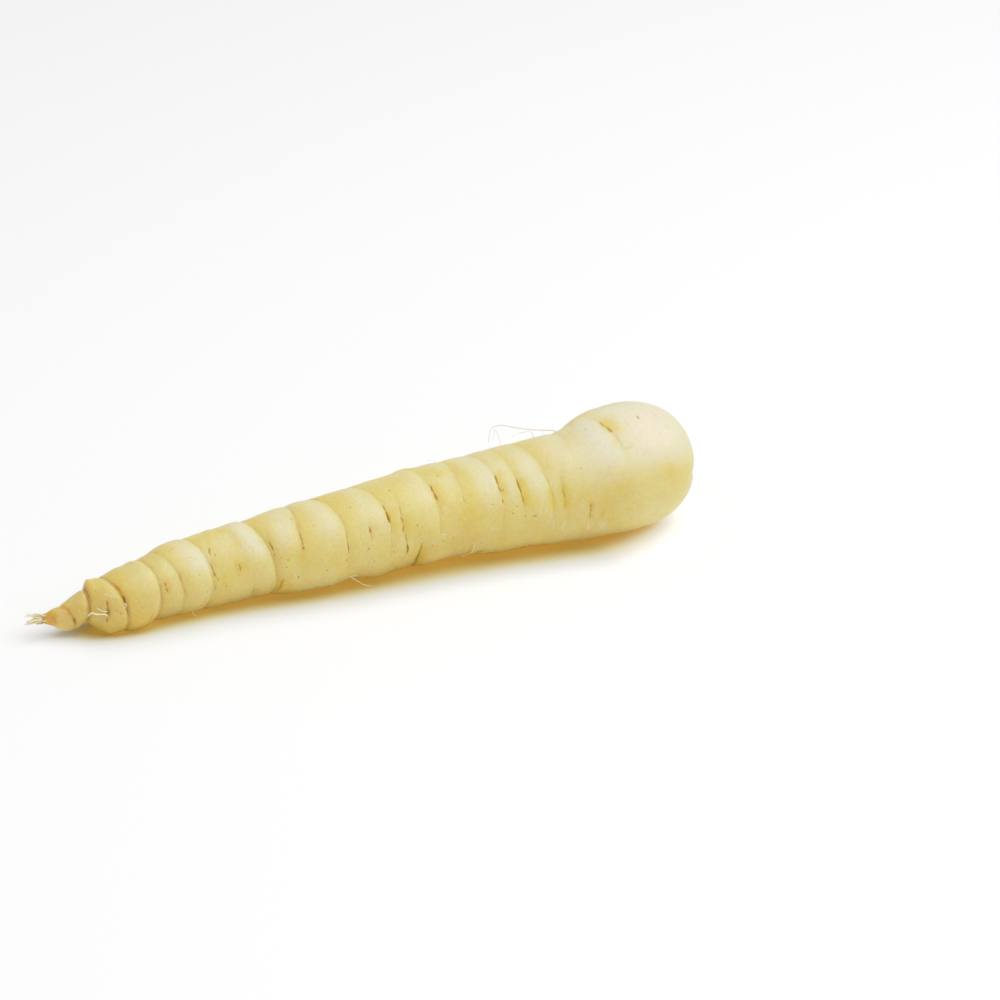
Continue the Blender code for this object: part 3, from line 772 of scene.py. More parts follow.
@dataclass(frozen=True)
class SkinFinish:
    """The washed skin of a white carrot: cream flesh under a thin satin skin.

    A grain is a noise's scale, detail and roughness. A zone is where a layer of colour starts and where
    it is full: in stations along the root, or in shares of how far up the skin faces. Some layers are
    painted light: a painted highlight on the top and on the ridges before the creases, painted shade on
    the top of the tail and in the creases, and painted yellow bounce light under the belly and the knob.
    """

    cream: Colour = (0.625, 0.515, 0.195, 1.0)
    # Crown tone, also the painted highlight on the top of the crown
    ivory_and_highlight: Colour = (0.69, 0.64, 0.455, 1.0)
    # Pale yellow, also painted shade on the crown side of the creases
    straw_and_crease_shade: Colour = (0.60, 0.455, 0.12, 1.0)
    ochre: Colour = (0.53, 0.36, 0.07, 1.0)
    tan: Colour = (0.46, 0.27, 0.05, 1.0)
    rust: Colour = (0.42, 0.24, 0.03, 1.0)
    # Dark core of the splits: brown, and partly painted shade in the cracks
    split: Colour = (0.20, 0.095, 0.012, 1.0)
    green: Colour = (0.46, 0.52, 0.18, 1.0)
    # Pale skin for streaks, grit, threads and the torn tip, also the painted highlight
    pale: Colour = (0.67, 0.67, 0.56, 1.0)
    # Stain halos, also painted yellow bounce light under the knob
    halo_and_bounce: Colour = (0.60, 0.43, 0.065, 1.0)
    # Dull tone of the tail cone, also painted shade on the top of the tail
    dun_and_top_shade: Colour = (0.42, 0.32, 0.10, 1.0)
    # Painted yellow bounce light under the belly
    painted_bounce_light: Colour = (0.72, 0.59, 0.225, 1.0)
    cloud_grain: Grain = (75.0, 3.0, 0.55)
    mottle_grain: Grain = (380.0, 3.0, 0.6)
    grit_grain: Grain = (1900.0, 2.0, 0.6)
    streak_grain: Grain = (1.0, 3.0, 0.55)
    streak_stretch: Grain = (1.1, 0.3, 0.3)
    wrinkle_grain: Grain = (0.9, 4.0, 0.6)
    wrinkle_stretch: Grain = (1.0, 0.3, 0.3)
    crown_zone: Point = (122.0, 166.0)
    tail_zone: Point = (38.0, 14.0)
    straw_zone: Point = (46.0, 18.0)
    # Where the painted shade on the top of the tail fades out
    top_shade_zone: Point = (48.0, 24.0)
    # Where the painted highlight on the creases' ridges grows along the root
    lip_zone: Point = (20.0, 50.0)
    # Where the painted highlight fades in the middle of the root
    faint_highlight_zones: tuple[Point, Point] = ((78.0, 90.0), (118.0, 108.0))
    # Where the painted bounce light under the belly starts and is full
    belly_zones: tuple[Point, Point] = ((96.0, 104.0), (148.0, 132.0))
    cone_zones: tuple[Point, Point] = ((8.0, 10.5), (15.5, 12.0))
    # Where the painted bounce light under the knob lies
    knob_zones: tuple[Point, Point] = ((11.0, 15.0), (34.0, 24.0))
    tip_zone: Point = (8.8, 6.0)
    collar_zone: Point = (8.0, 6.4)
    torn_zone: Point = (5.6, 4.2)
    # Where the painted highlight on the top starts and is full
    top_highlight_zone: Point = (0.76, 0.97)
    side_zone: Point = (0.80, 0.50)
    under_zone: Point = (0.60, 0.30)
    rim_zone: Point = (0.1, 0.6)
    speck_edge: Point = (0.22, 0.10)

    def material(self) -> bpy.types.Material:
        """Builds the finish."""
        shader = Shader("root_skin")
        place = shader.objects()
        grain = shader.attribute("grain", "Vector")
        station, upper = shader.attribute("station"), shader.attribute("upper")
        crease, lip, line, rim = (shader.attribute(name) for name in ("crease", "lip", "line", "rim"))
        slits, stains, threads = (shader.attribute(name) for name in ("slit", "stain", "thread"))

        clouds = shader.noise(place, *self.cloud_grain)
        mottle = shader.noise(place, *self.mottle_grain)
        grit = shader.noise(place, *self.grit_grain)
        streaks = shader.noise(shader.stretched(grain, self.streak_stretch), *self.streak_grain)
        specks = self.specks(shader, place, 480.0, 0.08) + self.specks(shader, place, 950.0, 0.34) * 0.7
        broken = slits * (0.5 + grit)

        crownward, tailward = station.between(*self.crown_zone), station.between(*self.tail_zone)
        # Painted highlight: paler on the top and on the ridge on the tail side of each crease, fainter in the
        # middle of the root
        top_highlight = upper.between(*self.top_highlight_zone)
        fainter_highlight = 1.0 - 0.5 * station.within(*self.faint_highlight_zones)
        painted_highlight = lip * (0.12 + 0.42 * station.between(*self.lip_zone) * top_highlight) * fainter_highlight
        # Painted yellow bounce light, on the underside of the belly and of the knob
        belly = upper.between(*self.under_zone) * station.within(*self.belly_zones)
        beneath = upper.between(*self.side_zone) * station.within(*self.knob_zones)
        tip, torn = station.between(*self.tip_zone), station.between(*self.torn_zone)

        colour = shader.layered(
            shader.mix(clouds.between(0.35, 0.68), self.cream, self.straw_and_crease_shade),
            # The wide zones of the root, from its bleached shoulder to its dull tail, with painted light
            # among them:
            # a painted highlight on the top and on the ridges before the creases, painted shade on the top of
            # the tail, and painted yellow bounce light under the belly and the knob
            (crownward * (0.10 + 0.80 * top_highlight), self.ivory_and_highlight),
            (painted_highlight + streaks.between(0.5, 0.8) * 0.12, self.pale),
            (mottle.between(0.52, 0.8) * 0.25, self.ochre),
            (station.between(*self.straw_zone) * 0.25, self.straw_and_crease_shade),
            # Painted shade: darker on the top of the tail
            (station.between(*self.top_shade_zone) * 0.32 * upper, self.dun_and_top_shade),
            (belly * 0.85, self.painted_bounce_light),
            (station.within(*self.cone_zones) * 0.28, self.dun_and_top_shade),
            (beneath * 0.6, self.halo_and_bounce),
            # Yellow on the crown side of each crease: partly its own stain, partly painted shade
            (crease * (0.3 + 0.4 * clouds), self.straw_and_crease_shade),
            # The grit that makes the skin look matt
            (grit.between(0.48, 0.72) * 0.22, self.ochre),
            (grit.between(0.46, 0.30) * 0.20, self.pale),
            # The brown collar at the tip of the tail, and its torn end
            (tip * mottle.between(0.62, 0.40) * 0.9, self.ochre),
            (tip * mottle.between(0.47, 0.64), self.rust),
            (station.between(*self.collar_zone) * 0.62, self.tan),
            (torn * grit.between(0.4, 0.6) * 0.8, self.pale),
            # The green round the leaf bases
            (rim * 0.7 * upper.between(*self.rim_zone), self.green),
            # Stains, the bottoms of the creases, loose threads, specks and splits
            (stains * (0.75 + 0.6 * mottle), self.halo_and_bounce),
            (line * (0.08 + 0.7 * tailward) * mottle.between(0.25, 0.6), self.tan),
            (threads * 0.7, self.pale),
            (specks * (0.6 - 0.35 * crownward), self.rust),
            (broken.between(0.05, 0.55) * 0.75, self.rust),
            # The splits' dark cores: brown, and partly painted shade in the cracks
            (broken.between(0.5, 1.1) * 0.55, self.split),
        )
        wrinkles = shader.noise(shader.stretched(grain, self.wrinkle_stretch), *self.wrinkle_grain)
        height = 0.7 * wrinkles + 0.35 * mottle + 0.10 * grit - 0.3 * specks + 0.25 * threads
        return shader.surface(
            Base_Color=colour,
            Roughness=0.38 + 0.16 * mottle + 0.3 * slits,
            Normal=shader.bump(height, 0.6, 0.0003),
            Subsurface_Weight=1.0,
            Subsurface_Radius=(1.0, 0.5, 0.12),
            Subsurface_Scale=0.007,
            Subsurface_Anisotropy=0.5,
            Specular_IOR_Level=0.5,
        )

    def specks(self, shader: Shader, place: Value, scale: float, share: float) -> Value:
        """Small round brown specks.

        Args:
            shader: the material's nodes.
            place: where they are looked up.
            scale: how many cells there are to a metre.
            share: how many of the cells have a speck.

        Returns:
            1 in a speck and 0 elsewhere.
        """
        cells = {"Vector": place, "Scale": scale, "Randomness": 1.0}
        sockets = "Distance", "Color"
        off, chance = (shader.node("ShaderNodeTexVoronoi", None, cells, name) for name in sockets)
        chosen = shader.node("ShaderNodeSeparateColor", None, {0: chance})
        return off.between(*self.speck_edge) * chosen.between(1.0 - share, 1.0 - 0.4 * share)


@dataclass(frozen=True)
class FibreFinish:
    """Dry root fibre, pale at its tip and tan at its foot."""

    pale: Colour = (0.78, 0.70, 0.50, 1.0)
    tan: Colour = (0.56, 0.38, 0.17, 1.0)
    patch_grain: Grain = (420.0, 3.0, 0.5)
    root_zone: Point = (-0.0885, -0.0862)

    def material(self, name: str, share: float) -> bpy.types.Material:
        """Builds the finish.

        Args:
            name: the material's name.
            share: how much of it is tan.

        Returns:
            The material; at the tail its fibres are tan where they leave the root.
        """
        shader = Shader(name)
        place = shader.objects()
        patches = shader.noise(place, *self.patch_grain)
        root = shader.along(place).between(*self.root_zone)
        colour = shader.mix(patches.between(0.2, 0.7) * share, self.pale, self.tan)
        colour = shader.mix(root * patches.between(0.3, 0.6) * share, colour, self.tan)
        return shader.surface(
            Base_Color=colour,
            Roughness=0.5 + 0.2 * patches,
            Normal=shader.bump(patches, 0.4, 0.0001),
            Subsurface_Weight=0.5,
            Subsurface_Radius=(1.0, 0.7, 0.4),
            Subsurface_Scale=0.001,
        )


@dataclass(frozen=True)
class LeafFinish:
    """Cut leaf stalks, pale green with drier brown edges."""

    green: Colour = (0.42, 0.52, 0.16, 1.0)
    pale: Colour = (0.70, 0.72, 0.42, 1.0)
    brown: Colour = (0.33, 0.22, 0.09, 1.0)
    rib_stretch: Grain = (0.3, 1.0, 1.0)
    rib_grain: Grain = (1800.0, 3.0, 0.6)
    patch_grain: Grain = (380.0, 3.0, 0.6)

    def material(self) -> bpy.types.Material:
        """Builds the finish."""
        shader = Shader("leaf_base")
        place = shader.objects()
        ribs = shader.noise(shader.stretched(place, self.rib_stretch), *self.rib_grain)
        patches = shader.noise(place, *self.patch_grain)
        colour = shader.mix(ribs.between(0.35, 0.65), self.green, self.pale)
        colour = shader.mix(patches.between(0.5, 0.72) * 0.7, colour, self.brown)
        return shader.surface(
            Base_Color=colour,
            Roughness=0.5 + 0.25 * patches,
            Normal=shader.bump(ribs, 0.6, 0.00015),
            Subsurface_Weight=0.3,
            Subsurface_Radius=(0.6, 1.0, 0.3),
            Subsurface_Scale=0.001,
        )


@dataclass(frozen=True)
class Places:
    """Where points lie on the root.

    share is their share of the shoulder's radius on the crown, and stray how far a split in the skin
    strays there from a straight line.
    """

    station: np.ndarray
    angle: np.ndarray
    radius: np.ndarray
    share: np.ndarray
    stray: np.ndarray


@dataclass
class Skin:
    """The root's skin: a straight tube of faces that is marked out first and then shaped.

    A ripple is its share, seed, length and number of waves. A fold is the angle and the depth of a
    crease that runs into the crown's hollow. A band or a ring is the middle and the reach of a soft
    stripe: across a crease, in millimetres, or round the crown, in shares of the shoulder's radius.
    yellow_reach is how far the yellow, part stain and part painted shade, goes from a crease on its tail
    side and on its crown side.
    """

    form: RootForm
    marks: tuple[Mark, ...]
    sides: int = 128
    rows_in_reach: int = 16
    crown_rows: int = 32
    crowding: float = 0.105
    split_reaches: Point = (0.68, 0.33)
    slit_depth: float = 0.24
    ripple_height: float = 0.16
    ripples: tuple[tuple[float, int, float, int], ...] = (
        (0.6, 3, 5.0, 18), (0.4, 6, 1.9, 9), (0.25, 5, 1.3, 30),
    )
    stray: float = 0.14
    stray_ripple: tuple[int, float, int] = (8, 0.9, 110)
    crown_taper: float = 1.15
    fold_width: float = 0.8
    fold_ring: Point = (0.5, 0.22)
    folds: tuple[Point, ...] = (
        (94.0, 2.0), (20.0, 0.4), (140.0, 0.5), (-45.0, 0.6), (-110.0, 0.5), (195.0, 0.6),
    )
    yellow_reach: Point = (0.5, 2.6)
    # Where the painted highlight lies, across the tail side of each crease
    lip_band: Point = (-3.2, 3.0)
    line_band: Point = (0.2, 0.45)
    rim_ring: Point = (0.6, 0.2)
    grain_radius: float = 12.0
    upper_turn: float = 0.4

    def __post_init__(self) -> None:
        """Draws the fine unevenness."""
        self.flank_rows = self.rows_in_reach * (len(GUIDES) + 1)
        self.uneven = [(share, Ripple(*pattern)) for share, *pattern in self.ripples]
        self.wander = Ripple(*self.stray_ripple)

    def line(self, number: int, angle: np.ndarray) -> np.ndarray:
        """The station of a guide line, where the tail's end is the first and the shoulder the last."""
        if number == 0:
            return np.full(angle.shape, self.form.tail_end)
        if number > len(GUIDES):
            return np.full(angle.shape, self.form.shoulder)
        return GUIDES[number - 1].path(angle)

    def station(self, row: np.ndarray, angle: np.ndarray) -> np.ndarray:
        """Turns rows of the flank into stations, closer together along the creases.

        Args:
            row: places along the straight tube, in rows.
            angle: their angles round it.

        Returns:
            Their stations.
        """
        reach = np.clip((row / self.rows_in_reach).astype(int), 0, len(GUIDES))
        share = np.clip(row / self.rows_in_reach - reach, 0.0, 1.0)
        share = share - self.crowding * np.sin(math.tau * share)
        lines = np.stack([self.line(number, angle) for number in range(len(GUIDES) + 2)])
        columns = np.arange(len(row))
        low, high = lines[reach, columns], lines[reach + 1, columns]
        return low + (high - low) * share

    def tube(self) -> bpy.types.Object:
        """Adds the straight tube, one unit long for each row, with a fan of faces at each end."""
        rows = self.flank_rows + self.crown_rows
        bpy.ops.object.select_all(action="DESELECT")
        bpy.ops.mesh.primitive_cylinder_add(
            vertices=self.sides, radius=1.0, depth=rows, end_fill_type="TRIFAN",
            location=(rows / 2.0, 0.0, 0.0), rotation=(0.0, math.pi / 2.0, 0.0),
        )
        bpy.ops.object.transform_apply(location=True, rotation=True, scale=True)
        made = bpy.context.object
        made.name = made.data.name = "root_skin"
        ends = np.array([vert.co.x for vert in made.data.vertices])
        long = [abs(ends[edge.vertices[0]] - ends[edge.vertices[1]]) > 1.0 for edge in made.data.edges]
        self.select(made, "EDGE", np.array(long))
        bpy.ops.mesh.subdivide_edgering(number_cuts=rows - 1, interpolation="LINEAR", smoothness=0.0)
        bpy.ops.object.mode_set(mode="OBJECT")
        return made

    @staticmethod
    def select(piece: bpy.types.Object, kind: str, chosen: np.ndarray) -> None:
        """Goes into edit mode with only the chosen edges or faces selected.

        Args:
            piece: the active object.
            kind: EDGE or FACE.
            chosen: True for each one to select.
        """
        bpy.ops.object.mode_set(mode="EDIT")
        bpy.ops.mesh.select_mode(type=kind)
        bpy.ops.mesh.select_all(action="DESELECT")
        bpy.ops.object.mode_set(mode="OBJECT")
        parts = piece.data.edges if kind == "EDGE" else piece.data.polygons
        parts.foreach_set("select", chosen)
        bpy.ops.object.mode_set(mode="EDIT")

    def places(self, co: np.ndarray) -> Places:
        """Where points of the straight tube come to lie on the root.

        Args:
            co: their coordinates on the tube.

        Returns:
            Their stations, angles and distances from the root's middle.
        """
        row = co[:, 0]
        angle = np.degrees(np.arctan2(-co[:, 1], co[:, 2]))
        station = self.station(np.minimum(row, self.flank_rows - 1e-6), angle)
        over = np.clip((row - self.flank_rows) / self.crown_rows, 0.0, 1.0)
        share = np.cos(over * math.pi / 2.0) ** self.crown_taper
        rise = np.sin(np.arccos(np.clip(share, 0.0, 1.0) ** (1.0 / self.form.crown_bluntness)))
        ripple = sum(part * pattern.at(station, angle) for part, pattern in self.uneven)
        height = self.form.relief(station) * self.ripple_height * ripple
        radius = (self.form.radius(station, angle) + height) * share
        on_axis = np.hypot(co[:, 1], co[:, 2]) < 0.5
        radius = np.where(on_axis, 0.0, radius)
        folds = sum(
            depth * np.exp(-np.abs(wrapped(angle - turn) * np.radians(1.0) * radius / self.fold_width))
            for turn, depth in self.folds
        ) * self.stripe(share, self.fold_ring)
        top = station + self.form.crown_height * rise - self.form.dimple(radius) - folds
        station = np.where(row > self.flank_rows, top, station)
        return Places(station, angle, radius, share, self.stray * self.wander.at(station, angle))

    @staticmethod
    def stripe(place: np.ndarray, band: Point) -> np.ndarray:
        """A soft stripe: 1 in the middle of its band, and near 0 past its reach."""
        middle, reach = band
        return np.exp(-(((place - middle) / reach) ** 2))

    def refine(self, tube: bpy.types.Object, reach: float) -> None:
        """Splits the faces that lie near a split in the skin, so that it shows sharp.

        Args:
            tube: the straight tube.
            reach: how near they lie, in millimetres.
        """
        centres = np.empty(len(tube.data.polygons) * 3)
        tube.data.polygons.foreach_get("center", centres)
        where = self.places(centres.reshape(-1, 3))
        near = np.full(len(where.station), FAR)
        for mark in self.marks:
            if mark.kind is MarkKind.SLIT:
                near = np.minimum(near, mark.distance(where)[0])
        on_ends = (where.share <= 0.1) | (centres[::3] <= 0.5)
        self.select(tube, "FACE", (near < reach) & ~on_ends)
        bpy.ops.mesh.subdivide(number_cuts=1, smoothness=0.0)
        bpy.ops.object.mode_set(mode="OBJECT")

    def strengths(self, where: Places) -> dict[MarkKind, np.ndarray]:
        """How strongly each kind of mark shows at skin points, from 0 to 1."""
        found = {kind: np.zeros(len(where.station)) for kind in MarkKind}
        for mark in self.marks:
            found[mark.kind] = np.maximum(found[mark.kind], mark.shown(where))
        return found

    def beside_creases(self, where: Places) -> dict[str, np.ndarray]:
        """How the creases colour the skin beside them.

        Args:
            where: the points of the skin.

        Returns:
            How yellow they are on a crease's crown side, partly stain and partly painted shade; how pale
            on the lip of its tail side, which is a painted highlight; and how brown at its bottom.
        """
        found = {name: np.zeros(len(where.station)) for name in ("crease", "lip", "line")}
        for crease in GUIDES + SCARS:
            off = where.station + where.stray - crease.path(where.angle)
            strength = crease.depth * crease.strength(where.angle)
            reach = np.where(off > 0.0, self.yellow_reach[1], self.yellow_reach[0])
            found["crease"] += strength * np.exp(-((off / reach) ** 2))
            found["lip"] += strength * self.stripe(off, self.lip_band)
            found["line"] += strength * self.stripe(off, self.line_band)
        on_flank = where.share > 0.999
        return {name: np.clip(values, 0.0, 1.0) * on_flank for name, values in found.items()}

    def build(self) -> bpy.types.Object:
        """Makes the skin.

        Returns:
            The finished piece.
        """
        tube = self.tube()
        for reach in self.split_reaches:
            self.refine(tube, reach)
        mesh = tube.data
        co = np.empty(len(mesh.vertices) * 3)
        mesh.vertices.foreach_get("co", co)
        co = co.reshape(-1, 3)
        where = self.places(co)
        station, angle = where.station, where.angle
        found = self.strengths(where)
        sunk = self.slit_depth * self.form.relief(station) * found[MarkKind.SLIT]
        shaped = self.form.points(station, angle, np.maximum(where.radius - sunk * where.share, 0.0))
        mesh.vertices.foreach_set("co", shaped.ravel())
        on_crown = co[:, 0] > self.flank_rows
        turn = np.radians(angle)
        values = {
            "station": station,
            **self.beside_creases(where),
            "rim": np.where(on_crown, self.stripe(where.share, self.rim_ring), 0.0),
            "upper": 0.5 + 0.5 * np.cos(turn - self.upper_turn),
            **{kind.value: strength for kind, strength in found.items()},
        }
        for name, shown in values.items():
            self.paint(mesh, name, shown)
        grain = np.stack([station, self.grain_radius * np.cos(turn), self.grain_radius * np.sin(turn)], -1)
        layer = mesh.attributes.new("grain", "FLOAT_VECTOR", "POINT")
        layer.data.foreach_set("vector", grain.astype(np.float32).ravel())
        mesh.update()
        self.select(tube, "FACE", np.ones(len(mesh.polygons), bool))
        bpy.ops.mesh.normals_make_consistent(inside=False)
        bpy.ops.object.mode_set(mode="OBJECT")
        bpy.ops.object.shade_smooth()
        return tube

    @staticmethod
    def paint(mesh: bpy.types.Mesh, name: str, values: np.ndarray) -> None:
        """Stores a value at each vertex."""
        layer = mesh.attributes.new(name, "FLOAT", "POINT")
        layer.data.foreach_set("value", values.astype(np.float32))


@dataclass(frozen=True)
class Strand:
    """A thin root or fibre along a smooth line, in metres, with its diameters in millimetres."""

    points: tuple[Vector, ...]
    foot: float
    tip: float
    order: int = 3
    steps: int = 3
    roundness: int = 1

    def build(self, name: str) -> bpy.types.Object:
        """Draws the line as a round curve that thins out, and makes it a mesh.

        Args:
            name: the piece's name.

        Returns:
            The strand.
        """
        bpy.ops.object.select_all(action="DESELECT")
        bpy.ops.curve.primitive_nurbs_path_add()
        made = bpy.context.object
        made.name = name
        made.data.splines.clear()
        spline = made.data.splines.new("NURBS")
        spline.points.add(len(self.points) - 1)
        spline.use_endpoint_u = True
        spline.order_u = self.order
        spline.resolution_u = self.steps
        for number, (knot, point) in enumerate(zip(spline.points, self.points)):
            share = number / (len(self.points) - 1)
            knot.co = (*point, 1.0)
            knot.radius = self.foot + (self.tip - self.foot) * share
        made.data.bevel_depth = 0.5 * MM    # so a knot's radius is its diameter in millimetres
        made.data.bevel_resolution = self.roundness
        made.data.use_fill_caps = True
        bpy.ops.object.convert(target="MESH")
        return bpy.context.object


def joined(name: str, pieces: list[bpy.types.Object]) -> bpy.types.Object:
    """Joins pieces into one.

    Args:
        name: its name.
        pieces: what it is made of.

    Returns:
        The joined piece, with its place in its mesh.
    """
    bpy.ops.object.select_all(action="DESELECT")
    for piece in pieces:
        piece.select_set(True)
    bpy.context.view_layer.objects.active = pieces[0]
    bpy.ops.object.join()
    bpy.ops.object.transform_apply(location=True, rotation=True, scale=True)
    made = bpy.context.object
    made.name = made.data.name = name
    bpy.ops.object.mode_set(mode="EDIT")
    bpy.ops.mesh.select_all(action="SELECT")
    bpy.ops.mesh.normals_make_consistent(inside=False)
    bpy.ops.object.mode_set(mode="OBJECT")
    bpy.ops.object.shade_smooth()
    return made


@dataclass(frozen=True)
class Fibre:
    """One torn fibre at the tail: its side, its heights along the way, and its size.

    tip is the share of its thickness that is left at its end.
    """

    side: float
    heights: tuple[float, ...]
    length: float
    thickness: float
    tip: float = 0.45


FIBRES = (
    # The upper lobe of the torn end
    Fibre(-0.1, (0.5, 1.0, 1.5, 1.75, 1.95), 4.1, 0.64, 0.45),
    Fibre(0.3, (0.4, 0.9, 1.4, 1.65, 1.85), 3.4, 0.72, 0.5),
    Fibre(-0.3, (0.7, 1.2, 1.7, 2.0, 2.3), 1.9, 0.5),
    Fibre(0.5, (0.2, 0.7, 1.15, 1.5, 1.7), 2.6, 0.75),
    # The lower lobe
    Fibre(-0.3, (-0.2, -0.15, -0.15, -0.2, -0.3), 4.2, 0.85, 0.45),
    Fibre(0.1, (0.0, 0.2, 0.25, 0.2, 0.0), 3.6, 0.95, 0.5),
    Fibre(-0.5, (0.1, 0.3, 0.5, 0.45, 0.35), 3.1, 0.9, 0.5),
    Fibre(0.4, (-0.4, -0.35, -0.25, -0.15, 0.0), 2.9, 0.8),
    Fibre(-0.5, (-0.5, -0.7, -0.8, -0.7, -0.75), 1.3, 0.45),
    # Short ones that fill the fork
    Fibre(-0.1, (0.2, 0.5, 0.8, 0.95, 1.0), 2.0, 0.95),
    Fibre(0.4, (0.3, 0.6, 0.9, 1.15, 1.3), 1.6, 0.85),
)


@dataclass
class TailFringe:
    """The torn fibres at the end of the tail.

    root is how far they reach into it, and a sway is its reach, its waves along a fibre and how much
    each fibre is ahead of the one before.
    """

    form: RootForm
    root: float = 1.6
    foot_width: float = 0.9
    spread: float = 0.3
    side_sway: Triple = (0.12, 5.0, 2.3)
    height_sway: Triple = (0.1, 6.0, 1.7)

    @staticmethod
    def sway(pattern: Triple, share: float, number: int) -> float:
        """How far a fibre of this number sways out at a share of its length."""
        reach, waves, shift = pattern
        return reach * math.sin(waves * share + shift * number)

    def build(self) -> bpy.types.Object:
        """Makes the fringe.

        Returns:
            The finished piece.
        """
        start = Vector(self.form.spine(np.array(self.form.tail_end + self.root))) + Vector(SEAT)
        pieces = []
        for number, fibre in enumerate(FIBRES):
            points = []
            for place, height in enumerate(fibre.heights):
                share = place / (len(fibre.heights) - 1)
                side = fibre.side * (self.foot_width + self.spread * share)
                side += self.sway(self.side_sway, share, number)
                rise = height + self.sway(self.height_sway, share, number)
                points.append((start + Vector((-(fibre.length + self.root) * share, side, rise))) * MM)
            strand = Strand(tuple(points), fibre.thickness, fibre.thickness * fibre.tip)
            pieces.append(strand.build(f"fibre_{number}"))
        return joined("tail_fringe", pieces)


@dataclass(frozen=True)
class Hair:
    """A side root or a hair, through points given as station, angle and height above the skin."""

    foot: float
    tip: float
    tan: bool
    points: tuple[Triple, ...]
    sunk: float = -0.5
    clearance: float = 0.6

    def strand(self, form: RootForm) -> Strand:
        """Finds the line that the hair follows.

        Args:
            form: the root that it grows on.

        Returns:
            The hair's strand, with its foot sunk into the skin, and kept off the floor.
        """
        station, angle, _ = self.points[0]
        points = [form.skin_point(*point) for point in ((station, angle, self.sunk), *self.points)]
        for point in points:
            point.z = max(point.z, self.clearance * self.tip * MM)
        return Strand(tuple(points), self.foot, self.tip)


def pale(foot: float, *points: Triple, tip: float = 0.1) -> Hair:
    """A whitish hair."""
    return Hair(foot, tip, False, points)


def tan(foot: float, *points: Triple, tip: float = 0.08) -> Hair:
    """A tan hair."""
    return Hair(foot, tip, True, points)


